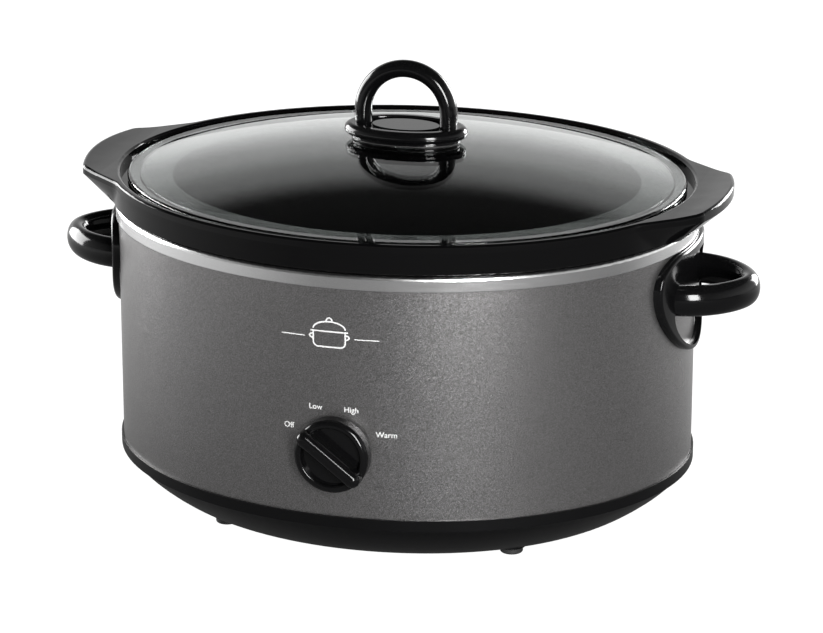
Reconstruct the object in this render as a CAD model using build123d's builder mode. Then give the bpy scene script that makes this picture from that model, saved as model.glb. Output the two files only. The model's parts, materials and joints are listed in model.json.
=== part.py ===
from build123d import *
from math import sqrt
import os

# Oval countertop slow cooker of the seven-quart class, in millimetres.
# +Z is up, +X runs along the long axis, and -Y is the front, where the knob is.
# The origin is the centre of the oval on the surface that the feet stand on.

# ---- driving dimensions: the oval body ----
SHELL_A = 175.0            # half-length of the painted shell
SHELL_B = 149.0            # half-width of the painted shell
OVAL = SHELL_B / SHELL_A   # width of every concentric oval over its length
SHEET = 1.0                # gauge of the painted steel shell
SHELL_FOOT_Z = 32.2        # lower edge of the shell, on the pan's ledge
SHELL_TOP_Z = 182.5        # upper edge, tucked under the rolled flange

# ---- heating well: liner with a rolled flange that caps the shell ----
WELL_GAUGE = 1.2
WELL_TOP_Z = 184.0
WELL_LIP_Z = 175.0         # lower edge of the rolled flange
WELL_FLOOR_Z = 50.2        # upper face of the floor
WELL_FLOOR_R = 138.6       # outer half-length at the floor
WELL_MOUTH_R = 152.0       # outer half-length under the flange
FLANGE_R = 176.6           # outer half-length of the rolled flange

# ---- base pan ----
PAN_SKIRT_A = 176.4        # skirt that the shell stands in
PAN_SKIRT_B = 150.4
PAN_SKIRT_Z = 31.0         # step between the bowl and the skirt
PAN_LIP_Z = 37.6           # upper edge of the skirt
PAN_WALL = 2.4
PAN_BOTTOM_Z = 4.0
PAN_BOWL = ((4.0, 137.5, 115.5), (8.0, 147.0, 125.0), (14.0, 156.5, 133.6),
            (22.0, 166.6, 142.0), (31.0, 174.8, 148.8))   # height, half-length, half-width
FOOT_X = 88.0
FOOT_Y = 83.0
FOOT_R = 6.8

# ---- side handles ----
HANDLE_Z = 147.0           # mid-height of the loop
HANDLE_REACH = 216.0       # outermost point of the loop
LOOP_WIDTH = 13.0
LOOP_HEIGHT = 18.8
LEG_Y = 33.0               # half-distance between the loop's two legs, at the screws
PLATE_PROUD = 4.6          # how far the escutcheon stands off the shell
PLATE_TOP_Z = 174.6
PLATE_TIP_Z = 108.5
PLATE_HALF_Y = 53.5        # half-width of the escutcheon
DISH_PROUD = 2.3           # how far the dished field stands off the shell
DISH_HALF_Y = 38.5
DISH_TOP_Z = 169.0
DISH_FOOT_Z = 137.0
WINDOW_HALF_Y = 39.0       # window through the escutcheon, under the loop
WINDOW_TOP_Z = 139.0
WINDOW_TIP_Z = 111.6
LOOP_ROOT_X = 168.0        # where the loop's legs start, inside the shell's outline
LOOP_BEND_X = 194.0        # where the legs would run to if they did not turn in
HUG = 0.15                 # clearance between the escutcheon and the shell

# ---- knob and rotary switch, on an axis along Y ----
KNOB_Z = 76.8
KNOB_R = 22.0
KNOB_RING_R = 17.4         # inner edge of the raised ring
KNOB_HOLLOW_R = 19.6       # hollow behind the knob
GRIP_WIDTH = 9.4
KNOB_OFF_ANGLE = 142.3     # direction of the pointer at Off, from +X towards +Z
SHAFT_R = 3.0
SWITCH_SIDE = 26.0

# ---- crock ----
RIM_R = 179.0              # outer half-length of the rim
RIM_TOP_Z = 203.0
RIM_FOOT_Z = 184.3         # underside of the rim, just above the flange
LEDGE_Z = 197.5            # ledge that the lid lies on
RECESS_R = 173.5           # half-length of the lid's recess
CROCK_MOUTH_R = 140.5
CROCK_FLOOR_R = 127.0      # inner half-length at the floor
CROCK_FLOOR_Z = 60.5
CROCK_BOTTOM_Z = 53.5
CROCK_WALL = 7.0
LUG_REACH = 197.0          # end of the lifting lugs
LUG_CORNER_X = 189.0
LUG_CORNER_Y = 45.0
LUG_FOOT_Z = 198.6         # underside of the lug's slab
LUG_ROOT_X = 150.0         # where the lugs begin to sweep up and out
LUG_ROOT_Y = 78.0
LUG_RISE_X = 174.5         # where the lugs' upper face begins to rise
LUG_RISE = 3.0             # how far the lug's end stands above the rim
LIP_FILLET = 1.8

# ---- lid ----
LID_R = 169.0              # half-length of the glass
LID_EDGE_Z = 197.8         # underside of the glass at its edge
LID_GLASS = 4.2
LID_DOME_R = 161.5         # where the dome meets the flat edge
LID_APEX_Z = 223.0
LID_HANDLE_TOP_Z = 271.0
ARCH_R = 26.3              # centreline radius of the lid handle's arch
ARCH_Z = 239.5             # height of the arch's centre
COLLAR_A = 37.6
COLLAR_B = 24.0
COLLAR_TOP_Z = 232.2
COLLAR_FOOT_Z = 225.4      # underside of the collar's round rim
NECK_INSET = 4.2           # how far the neck under the collar stands back
ARCH_DEPTH = 5.8           # half-depth of the arch's section along Y
GROOVE_DEPTH = 3.0         # groove between the collar's rim and its centre

# ---- inner parts ----
BAND_LOW_Z = 62.0          # heating band round the well
BAND_HIGH_Z = 102.0
BAND_GAUGE = 2.5
PAD_LOW_Z = 64.0           # insulation over the heating band
PAD_HIGH_Z = 150.0
PAD_GAUGE = 5.0
STUD_R = 3.0               # draw stud that clamps well, shell and pan together
WIRE_R = 1.2
GLAND_Z = 58.0
CORD_R = 3.6               # bore for the mains cord
GLAND_NOSE_Y = 164.0

os.makedirs("parts", exist_ok=True)


def well_radius(z):
    """Outer half-length of the well's tapered wall at height z."""
    floor_z = WELL_FLOOR_Z - WELL_GAUGE
    rise = (WELL_MOUTH_R - WELL_FLOOR_R) / (WELL_TOP_Z - WELL_GAUGE - floor_z)
    return WELL_FLOOR_R + (z - floor_z) * rise


def oval_body(points, radii):
    """Revolve a closed XZ outline about Z, then squash it to the cooker's oval plan."""
    with BuildPart() as body:
        with BuildSketch(Plane.XZ):
            with BuildLine():
                FilletPolyline(*points, radius=radii, close=True)
            make_face()
        revolve(axis=Axis.Z)
        scale(by=(1, OVAL, 1))
    return body.part


def wall_sleeve(low_z, high_z, inner_gap, gauge):
    """Sleeve that follows the well's tapered wall at a set distance from it."""
    low_r = well_radius(low_z) + inner_gap
    high_r = well_radius(high_z) + inner_gap
    outline = [(low_r, low_z), (low_r + gauge, low_z), (high_r + gauge, high_z), (high_r, high_z)]
    return oval_body(outline, 0)


def wire_along(points, bend):
    """Round insulated wire along straight runs joined by tangent arcs."""
    with BuildPart() as wire:
        with BuildLine() as route:
            FilletPolyline(*points, radius=bend)
        with BuildSketch(Plane(origin=route.line @ 0, z_dir=route.line % 0)):
            Circle(WIRE_R)
        sweep()
    return wire.part


# ---- painted shell: one oval wall with its holes ----
with BuildPart() as outer_shell:
    with BuildSketch(Plane.XY.offset(SHELL_FOOT_Z)):
        Ellipse(SHELL_A, SHELL_B)
        Ellipse(SHELL_A - SHEET, SHELL_B - SHEET, mode=Mode.SUBTRACT)
    extrude(amount=SHELL_TOP_Z - SHELL_FOOT_Z)
    with BuildSketch(Plane.XZ.offset(SHELL_B - 5)):
        with Locations((0, KNOB_Z)):
            Circle(4.8)
    extrude(amount=10, mode=Mode.SUBTRACT)
    with BuildSketch(Plane.XZ.offset(5 - SHELL_B)):
        with Locations((0, GLAND_Z)):
            Circle(7.0)
    extrude(amount=-10, mode=Mode.SUBTRACT)
    with BuildSketch(Plane.YZ.offset(-SHELL_A)):
        with Locations((-LEG_Y, HANDLE_Z), (LEG_Y, HANDLE_Z)):
            Circle(2.4)
    extrude(amount=2 * SHELL_A, mode=Mode.SUBTRACT)
outer_shell.part.label = "outer_shell"
export_step(outer_shell.part, "parts/outer_shell.step")

# ---- heating well: tapered liner, flat flange and rolled lip in one pressing ----
WELL_UNDER_Z = WELL_TOP_Z - WELL_GAUGE
well_pressing = oval_body(
    [
        (0, WELL_FLOOR_Z - WELL_GAUGE),
        (WELL_FLOOR_R, WELL_FLOOR_Z - WELL_GAUGE),
        (WELL_MOUTH_R, WELL_UNDER_Z),
        (FLANGE_R - WELL_GAUGE, WELL_UNDER_Z),
        (FLANGE_R - WELL_GAUGE, WELL_LIP_Z),
        (FLANGE_R, WELL_LIP_Z),
        (FLANGE_R, WELL_TOP_Z),
        (WELL_MOUTH_R - WELL_GAUGE, WELL_TOP_Z),
        (WELL_FLOOR_R - WELL_GAUGE, WELL_FLOOR_Z),
        (0, WELL_FLOOR_Z),
    ],
    [0, 13.2, 1.6, 1.2, 0.3, 0.5, 2.4, 2.8, 12.0, 0],
)
with BuildPart() as heating_well:
    add(well_pressing)
heating_well.part.label = "heating_well"
export_step(heating_well.part, "parts/heating_well.step")

# ---- base pan: moulded bowl with a skirt round the shell ----
with BuildPart() as base_pan:
    for height, half_length, half_width in PAN_BOWL:
        with BuildSketch(Plane.XY.offset(height)):
            Ellipse(half_length, half_width)
    loft()
    with BuildSketch(Plane.XY.offset(PAN_SKIRT_Z)):
        Ellipse(PAN_SKIRT_A, PAN_SKIRT_B)
    extrude(amount=PAN_LIP_Z - PAN_SKIRT_Z)
    with Locations((FOOT_X, FOOT_Y), (-FOOT_X, FOOT_Y), (FOOT_X, -FOOT_Y), (-FOOT_X, -FOOT_Y)):
        with Locations((0, 0, PAN_BOTTOM_Z)):
            Cylinder(FOOT_R + 1.6, 9, align=(Align.CENTER, Align.CENTER, Align.MIN))
    for height, half_length, half_width in PAN_BOWL[:-1]:
        with BuildSketch(Plane.XY.offset(height + PAN_WALL)):
            Ellipse(half_length - PAN_WALL, half_width - PAN_WALL)
    with BuildSketch(Plane.XY.offset(SHELL_FOOT_Z)):
        Ellipse(SHELL_A - 2.2, SHELL_B - 2.2)
    loft(mode=Mode.SUBTRACT)
    with BuildSketch(Plane.XY.offset(SHELL_FOOT_Z)):
        Ellipse(SHELL_A + 0.1, SHELL_B + 0.1)
    extrude(amount=PAN_LIP_Z - SHELL_FOOT_Z, mode=Mode.SUBTRACT)
    # raised centre that the draw nut hides in
    with BuildSketch(Plane.XY.offset(PAN_BOTTOM_Z + 1)):
        Circle(20)
    extrude(amount=10.4)
    with BuildSketch(Plane.XY.offset(PAN_BOTTOM_Z)):
        Circle(17.5)
    extrude(amount=9, mode=Mode.SUBTRACT)
    with BuildSketch(Plane.XY):
        Circle(STUD_R + 0.2)
        for corner_x in (-FOOT_X, FOOT_X):
            with Locations((corner_x, FOOT_Y), (corner_x, -FOOT_Y)):
                Circle(3.0)
    extrude(amount=20, mode=Mode.SUBTRACT)
    # cooling slots through the floor
    with BuildSketch(Plane.XY):
        with GridLocations(76, 9, 2, 7):
            SlotOverall(44, 4.5)
    extrude(amount=10, mode=Mode.SUBTRACT)
base_pan.part.label = "base_pan"
export_step(base_pan.part, "parts/base_pan.step")

# ---- four rubber feet, pushed through the pan ----
FEET = {
    "foot_front_left": (-FOOT_X, -FOOT_Y),
    "foot_front_right": (FOOT_X, -FOOT_Y),
    "foot_rear_left": (-FOOT_X, FOOT_Y),
    "foot_rear_right": (FOOT_X, FOOT_Y),
}
for foot_name, foot_centre in FEET.items():
    with BuildPart() as foot:
        with BuildSketch(Plane.XY):
            with Locations(foot_centre):
                Circle(FOOT_R)
        extrude(amount=PAN_BOTTOM_Z)
        fillet(foot.faces().sort_by(Axis.Z)[0].edges(), radius=1.2)
        with BuildSketch(Plane.XY.offset(PAN_BOTTOM_Z)):
            with Locations(foot_centre):
                Circle(2.9)
        extrude(amount=9.2)
        with BuildSketch(Plane.XY.offset(PAN_BOTTOM_Z + 9.1)):
            with Locations(foot_centre):
                Circle(4.4)
        extrude(amount=1.8)
    foot.part.label = foot_name
    export_step(foot.part, f"parts/{foot_name}.step")

# ---- side handles: escutcheon and loop in one moulding ----
PLATE_A = SHELL_A + PLATE_PROUD
PLATE_B = SHELL_B + PLATE_PROUD
DISH_A = SHELL_A + DISH_PROUD
DISH_B = SHELL_B + DISH_PROUD
LOOP_NOSE_X = HANDLE_REACH - LOOP_WIDTH / 2
LOOP_ROOT_Y = LEG_Y + 1

# the dished field above the legs and the window under the loop
with BuildPart() as handle_dish:
    with BuildSketch(Plane.XY.offset(PLATE_TIP_Z)):
        Ellipse(PLATE_A + 5, PLATE_B + 5)
        Ellipse(DISH_A, DISH_B, mode=Mode.SUBTRACT)
    extrude(amount=PLATE_TOP_Z - PLATE_TIP_Z)
    with BuildSketch(Plane.YZ.offset(SHELL_A / 2)):
        with BuildLine():
            Bezier((0, DISH_TOP_Z), (20, DISH_TOP_Z), (DISH_HALF_Y, 164.0), (DISH_HALF_Y, HANDLE_Z))
            Line((DISH_HALF_Y, HANDLE_Z), (DISH_HALF_Y, DISH_FOOT_Z))
            Line((DISH_HALF_Y, DISH_FOOT_Z), (0, DISH_FOOT_Z))
            Line((0, DISH_FOOT_Z), (0, DISH_TOP_Z))
        make_face()
        mirror(about=Plane.YZ)
    extrude(amount=SHELL_A, mode=Mode.INTERSECT)

with BuildPart() as handle_right:
    with BuildSketch(Plane.XY.offset(PLATE_TIP_Z)):
        Ellipse(PLATE_A, PLATE_B)
        Ellipse(SHELL_A - 6, SHELL_B - 6, mode=Mode.SUBTRACT)
    extrude(amount=PLATE_TOP_Z - PLATE_TIP_Z)
    with BuildSketch(Plane.YZ.offset(SHELL_A / 2)):
        with BuildLine():
            Line((0, PLATE_TOP_Z), (24, PLATE_TOP_Z))
            Bezier((24, PLATE_TOP_Z), (42, PLATE_TOP_Z), (PLATE_HALF_Y, 168.0), (PLATE_HALF_Y, 155.0))
            Bezier((PLATE_HALF_Y, 155.0), (PLATE_HALF_Y, 134.0), (27, PLATE_TIP_Z), (0, PLATE_TIP_Z))
            Line((0, PLATE_TIP_Z), (0, PLATE_TOP_Z))
        make_face()
        mirror(about=Plane.YZ)
    extrude(amount=SHELL_A, mode=Mode.INTERSECT)
    plate_face = handle_right.faces().filter_by(lambda f: f.center().X > SHELL_A).sort_by(SortBy.AREA)[-1]
    fillet(plate_face.edges(), radius=2.0)
    add(handle_dish.part, mode=Mode.SUBTRACT)
    with BuildSketch(Plane.YZ.offset(SHELL_A / 2)):
        with BuildLine():
            Line((0, WINDOW_TOP_Z), (WINDOW_HALF_Y, WINDOW_TOP_Z))
            Bezier(
                (WINDOW_HALF_Y, WINDOW_TOP_Z),
                (WINDOW_HALF_Y, 126.0),
                (19, WINDOW_TIP_Z),
                (0, WINDOW_TIP_Z),
            )
            Line((0, WINDOW_TIP_Z), (0, WINDOW_TOP_Z))
        make_face()
        mirror(about=Plane.YZ)
    extrude(amount=SHELL_A, mode=Mode.SUBTRACT)
    with BuildLine() as loop_path:
        Bezier(
            (LOOP_ROOT_X, -LOOP_ROOT_Y, HANDLE_Z),
            (LOOP_BEND_X, -LOOP_ROOT_Y, HANDLE_Z),
            (LOOP_NOSE_X, -12, HANDLE_Z),
            (LOOP_NOSE_X, 0, HANDLE_Z),
        )
        Bezier(
            (LOOP_NOSE_X, 0, HANDLE_Z),
            (LOOP_NOSE_X, 12, HANDLE_Z),
            (LOOP_BEND_X, LOOP_ROOT_Y, HANDLE_Z),
            (LOOP_ROOT_X, LOOP_ROOT_Y, HANDLE_Z),
        )
    with BuildSketch(Plane(origin=(LOOP_ROOT_X, -LOOP_ROOT_Y, HANDLE_Z), x_dir=(0, 1, 0), z_dir=(1, 0, 0))):
        Ellipse(LOOP_WIDTH / 2, LOOP_HEIGHT / 2)
    sweep(path=loop_path.line)
    with BuildSketch(Plane.XY.offset(PLATE_TIP_Z - 5)):
        Ellipse(SHELL_A + HUG, SHELL_B + HUG)
    extrude(amount=PLATE_TOP_Z - PLATE_TIP_Z + 10, mode=Mode.SUBTRACT)
    with BuildSketch(Plane.YZ.offset(SHELL_A - 10)):
        with Locations((-LEG_Y, HANDLE_Z), (LEG_Y, HANDLE_Z)):
            Circle(2.05)
    extrude(amount=15, mode=Mode.SUBTRACT)
handle_right.part.label = "handle_right"
export_step(handle_right.part, "parts/handle_right.step")

with BuildPart() as handle_left:
    add(mirror(handle_right.part, about=Plane.YZ, mode=Mode.PRIVATE))
handle_left.part.label = "handle_left"
export_step(handle_left.part, "parts/handle_left.step")

# ---- backing plates and screws that hold the handles from inside ----
SCREW_HEAD_X = 166.8
for side_name, side in (("left", -1), ("right", 1)):
    with BuildPart() as backing:
        with BuildSketch(Plane.XY.offset(HANDLE_Z - 8)):
            Ellipse(SHELL_A - SHEET - 0.1, SHELL_B - SHEET - 0.1)
            Ellipse(SHELL_A - SHEET - 1.3, SHELL_B - SHEET - 1.3, mode=Mode.SUBTRACT)
        extrude(amount=16)
        with Locations((side * SHELL_A, 0, HANDLE_Z)):
            Box(SHELL_A / 2, 2 * LEG_Y + 22, 40, mode=Mode.INTERSECT)
        with BuildSketch(Plane.YZ.offset(side * (SHELL_A - 15))):
            with Locations((-LEG_Y, HANDLE_Z), (LEG_Y, HANDLE_Z)):
                Circle(2.4)
        extrude(amount=side * 20, mode=Mode.SUBTRACT)
    backing.part.label = f"handle_backing_{side_name}"
    export_step(backing.part, f"parts/handle_backing_{side_name}.step")

    with BuildPart() as screws:
        with BuildSketch(Plane.YZ.offset(side * SCREW_HEAD_X)):
            with Locations((-LEG_Y, HANDLE_Z), (LEG_Y, HANDLE_Z)):
                Circle(2.0)
        extrude(amount=side * 12)
        with BuildSketch(Plane.YZ.offset(side * SCREW_HEAD_X)):
            with Locations((-LEG_Y, HANDLE_Z), (LEG_Y, HANDLE_Z)):
                Circle(3.9)
        extrude(amount=-side * 2.4)
        with BuildSketch(Plane.YZ.offset(side * (SCREW_HEAD_X - 2.4))):
            with Locations((-LEG_Y, HANDLE_Z), (LEG_Y, HANDLE_Z)):
                Rectangle(5.0, 1.0)
                Rectangle(1.0, 5.0)
        extrude(amount=side * 1.3, mode=Mode.SUBTRACT)
    screws.part.label = f"handle_screws_{side_name}"
    export_step(screws.part, f"parts/handle_screws_{side_name}.step")

# ---- heating band round the well, with its clamp at the rear ----
band_sleeve = wall_sleeve(BAND_LOW_Z, BAND_HIGH_Z, 0.15, BAND_GAUGE)
BAND_REAR_Y = OVAL * (well_radius(BAND_HIGH_Z) + 0.15 + BAND_GAUGE)
EAR_Y = BAND_REAR_Y + 5
EAR_X = 9.2
EAR_Z = 82.0
with BuildPart() as heater_band:
    add(band_sleeve)
    with Locations((0, SHELL_B, EAR_Z)):
        Box(14, 2 * SHELL_B, 60, mode=Mode.SUBTRACT)
heater_band.part.label = "heater_band"
export_step(heater_band.part, "parts/heater_band.step")

with BuildPart() as heater_clamp:
    with Locations((-EAR_X, EAR_Y, EAR_Z), (EAR_X, EAR_Y, EAR_Z)):
        Box(3, 9, 16)
    with BuildSketch(Plane.YZ.offset(-15)):
        with Locations((EAR_Y + 1, EAR_Z)):
            Circle(2.1)
    extrude(amount=30, mode=Mode.SUBTRACT)
heater_clamp.part.label = "heater_clamp"
export_step(heater_clamp.part, "parts/heater_clamp.step")

with BuildPart() as heater_clamp_screw:
    with BuildSketch(Plane.YZ.offset(-10.9)):
        with Locations((EAR_Y + 1, EAR_Z)):
            Circle(2.0)
    extrude(amount=26)
    with BuildSketch(Plane.YZ.offset(-13.3)):
        with Locations((EAR_Y + 1, EAR_Z)):
            Circle(3.6)
    extrude(amount=2.4)
    with BuildSketch(Plane.YZ.offset(10.9)):
        with Locations((EAR_Y + 1, EAR_Z)):
            RegularPolygon(3.9, 6)
    extrude(amount=3)
heater_clamp_screw.part.label = "heater_clamp_screw"
export_step(heater_clamp_screw.part, "parts/heater_clamp_screw.step")

# ---- insulation pads over the band, open at the switch and at the clamp ----
pad_sleeve = wall_sleeve(PAD_LOW_Z, PAD_HIGH_Z, 3.3, PAD_GAUGE)
for side_name, side in (("left", -1), ("right", 1)):
    with BuildPart() as pad:
        add(pad_sleeve)
        with Locations((side * (36 + SHELL_A), 0, PAD_LOW_Z)):
            Box(2 * SHELL_A, 3 * SHELL_B, 2 * PAD_HIGH_Z, mode=Mode.INTERSECT)
    pad.part.label = f"insulation_{side_name}"
    export_step(pad.part, f"parts/insulation_{side_name}.step")

# ---- heat shield between the well and the wiring ----
SHIELD_Z = 40.0
SHIELD_R = 120.0
shield_dish = oval_body(
    [(0, SHIELD_Z), (SHIELD_R, SHIELD_Z), (SHIELD_R + 4, SHIELD_Z + 5), (SHIELD_R + 3, SHIELD_Z + 5.4),
     (SHIELD_R - 0.5, SHIELD_Z + 0.8), (0, SHIELD_Z + 0.8)],
    0,
)
with BuildPart() as heat_shield:
    add(shield_dish)
    with BuildSketch(Plane.XY.offset(SHIELD_Z)):
        Circle(STUD_R + 0.2)
    extrude(amount=5, mode=Mode.SUBTRACT)
heat_shield.part.label = "heat_shield"
export_step(heat_shield.part, "parts/heat_shield.step")

# ---- draw stud with its spacers, washer and nut ----
STUD_HEAD_Z = 47.6
NUT_TOP_Z = 11.6
PAN_CENTRE_Z = 13.0        # underside of the pan's raised centre
with BuildPart() as draw_stud:
    with BuildSketch(Plane.XY.offset(5.2)):
        Circle(STUD_R)
    extrude(amount=STUD_HEAD_Z - 5.2)
    with BuildSketch(Plane.XY.offset(STUD_HEAD_Z)):
        Circle(9)
    extrude(amount=WELL_FLOOR_Z - WELL_GAUGE - STUD_HEAD_Z)
    chamfer(draw_stud.faces().sort_by(Axis.Z)[0].edges(), length=0.6)
draw_stud.part.label = "draw_stud"
export_step(draw_stud.part, "parts/draw_stud.step")

SPACERS = {
    "spacer_lower": (PAN_CENTRE_Z + 2.4, SHIELD_Z),
    "spacer_upper": (SHIELD_Z + 0.8, STUD_HEAD_Z),
}
for spacer_name, (low_z, high_z) in SPACERS.items():
    with BuildPart() as spacer:
        with BuildSketch(Plane.XY.offset(low_z)):
            Circle(6)
            Circle(STUD_R + 0.1, mode=Mode.SUBTRACT)
        extrude(amount=high_z - low_z)
    spacer.part.label = spacer_name
    export_step(spacer.part, f"parts/{spacer_name}.step")

with BuildPart() as draw_washer:
    with BuildSketch(Plane.XY.offset(NUT_TOP_Z)):
        Circle(8)
        Circle(STUD_R + 0.2, mode=Mode.SUBTRACT)
    extrude(amount=PAN_CENTRE_Z - NUT_TOP_Z)
draw_washer.part.label = "draw_washer"
export_step(draw_washer.part, "parts/draw_washer.step")

with BuildPart() as draw_nut:
    with BuildSketch(Plane.XY.offset(NUT_TOP_Z - 5)):
        RegularPolygon(5.8, 6)
        Circle(STUD_R + 0.05, mode=Mode.SUBTRACT)
    extrude(amount=5)
draw_nut.part.label = "draw_nut"
export_step(draw_nut.part, "parts/draw_nut.step")

# ---- rotary switch: housing with a threaded bushing, cover, blades and nut ----
SWITCH_FACE_Y = 147.3
SWITCH_COVER_Y = 133.0
SWITCH_BACK_Y = 131.0
BUSHING_END_Y = 151.6
with BuildPart() as switch_housing:
    with BuildSketch(Plane.XZ.offset(SWITCH_COVER_Y)):
        with Locations((0, KNOB_Z)):
            RectangleRounded(SWITCH_SIDE, SWITCH_SIDE, 2)
    extrude(amount=SWITCH_FACE_Y - SWITCH_COVER_Y)
    with BuildSketch(Plane.XZ.offset(SWITCH_COVER_Y)):
        with Locations((0, KNOB_Z)):
            Circle(10)
    extrude(amount=12, mode=Mode.SUBTRACT)
    with BuildSketch(Plane.XZ.offset(SWITCH_FACE_Y)):
        with Locations((0, KNOB_Z)):
            Circle(4.6)
    extrude(amount=BUSHING_END_Y - SWITCH_FACE_Y)
    with BuildSketch(Plane.XZ.offset(SWITCH_COVER_Y)):
        with Locations((0, KNOB_Z)):
            Circle(SHAFT_R + 0.08)
    extrude(amount=BUSHING_END_Y - SWITCH_COVER_Y, mode=Mode.SUBTRACT)
switch_housing.part.label = "switch_housing"
export_step(switch_housing.part, "parts/switch_housing.step")

with BuildPart() as switch_cover:
    with BuildSketch(Plane.XZ.offset(SWITCH_BACK_Y)):
        with Locations((0, KNOB_Z)):
            RectangleRounded(SWITCH_SIDE, SWITCH_SIDE, 2)
    extrude(amount=SWITCH_COVER_Y - SWITCH_BACK_Y)
switch_cover.part.label = "switch_cover"
export_step(switch_cover.part, "parts/switch_cover.step")

with BuildPart() as switch_nut:
    with BuildSketch(Plane.XZ.offset(SHELL_B + 0.05)):
        with Locations((0, KNOB_Z)):
            RegularPolygon(7.4, 6)
            Circle(4.65, mode=Mode.SUBTRACT)
    extrude(amount=2.1)
switch_nut.part.label = "switch_nut"
export_step(switch_nut.part, "parts/switch_nut.step")

BLADE_Y = 138.0
SWITCH_LOW_Z = KNOB_Z - SWITCH_SIDE / 2
SWITCH_HIGH_Z = KNOB_Z + SWITCH_SIDE / 2
BLADE_LENGTH = 9.0
with BuildPart() as switch_terminals:
    with Locations((-5, -BLADE_Y, SWITCH_LOW_Z), (5, -BLADE_Y, SWITCH_LOW_Z)):
        Box(4.8, 0.8, BLADE_LENGTH, align=(Align.CENTER, Align.CENTER, Align.MAX))
    with Locations((-5, -BLADE_Y, SWITCH_HIGH_Z)):
        Box(4.8, 0.8, BLADE_LENGTH, align=(Align.CENTER, Align.CENTER, Align.MIN))
switch_terminals.part.label = "switch_terminals"
export_step(switch_terminals.part, "parts/switch_terminals.step")

# ---- what turns: knob, its leaf spring, the shaft and the switch rotor ----
KNOB_BACK_Y = 150.4
KNOB_FACE_Y = 159.5
KNOB_FIELD_Y = 156.0       # sunk field inside the ring
KNOB_GRIP_Y = 166.6
HUB_BACK_Y = 152.4
ROTOR_BACK_Y = SWITCH_COVER_Y + 1.0
SHAFT_END_Y = 161.5
with BuildPart() as knob:
    with BuildSketch(Plane.XZ.offset(KNOB_BACK_Y)):
        with Locations((0, KNOB_Z)):
            Circle(KNOB_R)
    extrude(amount=KNOB_FACE_Y - KNOB_BACK_Y)
    fillet(knob.faces().sort_by(Axis.Y)[0].edges(), radius=3.2)
    with BuildSketch(Plane.XZ.offset(KNOB_FIELD_Y)):
        with Locations((0, KNOB_Z)):
            Circle(KNOB_RING_R)
    extrude(amount=KNOB_FACE_Y - KNOB_FIELD_Y, mode=Mode.SUBTRACT)
    circles = knob.edges().filter_by(GeomType.CIRCLE)
    ring_edge = circles.filter_by(lambda e: abs(e.radius - KNOB_RING_R) < 0.1)
    fillet(ring_edge.sort_by(Axis.Y)[0], radius=1.1)
    with BuildSketch(Plane.XZ.offset(KNOB_FIELD_Y - 1)):
        with Locations((0, KNOB_Z)):
            SlotOverall(2 * KNOB_R + 0.8, GRIP_WIDTH, rotation=KNOB_OFF_ANGLE)
    extrude(amount=KNOB_GRIP_Y - KNOB_FIELD_Y + 1)
    fillet(knob.faces().sort_by(Axis.Y)[0].edges(), radius=4.3)
    with BuildSketch(Plane.XZ.offset(KNOB_BACK_Y)):
        with Locations((0, KNOB_Z)):
            Circle(KNOB_HOLLOW_R)
    extrude(amount=HUB_BACK_Y - KNOB_BACK_Y, mode=Mode.SUBTRACT)
    with BuildSketch(Plane.XZ.offset(HUB_BACK_Y)):
        with Locations((0, KNOB_Z)):
            Circle(KNOB_HOLLOW_R)
            Circle(6.5, mode=Mode.SUBTRACT)
    extrude(amount=2.0, mode=Mode.SUBTRACT)
    with BuildSketch(Plane.XZ.offset(HUB_BACK_Y)):
        with Locations((0, KNOB_Z)):
            Circle(SHAFT_R + 0.05)
            with Locations((0, SHAFT_R + 2.65)):
                Rectangle(10, 6, mode=Mode.SUBTRACT)
    extrude(amount=9.6, mode=Mode.SUBTRACT)
knob.part.label = "knob"
export_step(knob.part, "parts/knob.step")

with BuildPart() as switch_shaft:
    with BuildSketch(Plane.XZ.offset(ROTOR_BACK_Y)):
        with Locations((0, KNOB_Z)):
            Circle(SHAFT_R)
    extrude(amount=SHAFT_END_Y - ROTOR_BACK_Y)
    with BuildSketch(Plane.XZ.offset(HUB_BACK_Y - 0.3)):
        with Locations((0, KNOB_Z + 2.0 + 3)):
            Rectangle(10, 6)
    extrude(amount=12, mode=Mode.SUBTRACT)
switch_shaft.part.label = "switch_shaft"
export_step(switch_shaft.part, "parts/switch_shaft.step")

with BuildPart() as knob_clip:
    with Locations((0, -(HUB_BACK_Y + 4.6), KNOB_Z + 2.3)):
        Box(3.0, 8.4, 0.5)
knob_clip.part.label = "knob_clip"
export_step(knob_clip.part, "parts/knob_clip.step")

with BuildPart() as switch_rotor:
    with BuildSketch(Plane.XZ.offset(ROTOR_BACK_Y)):
        with Locations((0, KNOB_Z)):
            Circle(9.4)
            Circle(SHAFT_R + 0.05, mode=Mode.SUBTRACT)
            with PolarLocations(9.4, 3):
                Circle(2.2, mode=Mode.SUBTRACT)
    extrude(amount=9.0)
switch_rotor.part.label = "switch_rotor"
export_step(switch_rotor.part, "parts/switch_rotor.step")

# ---- thermal fuse in its clip, beside the switch ----
FUSE_X = -22.0
FUSE_Y = -127.0
FUSE_LOW_Z = 108.0
FUSE_HIGH_Z = 122.0
with BuildPart() as thermal_fuse:
    with BuildSketch(Plane.XY.offset(FUSE_LOW_Z)):
        with Locations((FUSE_X, FUSE_Y)):
            Circle(2.1)
    extrude(amount=FUSE_HIGH_Z - FUSE_LOW_Z)
thermal_fuse.part.label = "thermal_fuse"
export_step(thermal_fuse.part, "parts/thermal_fuse.step")

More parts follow.
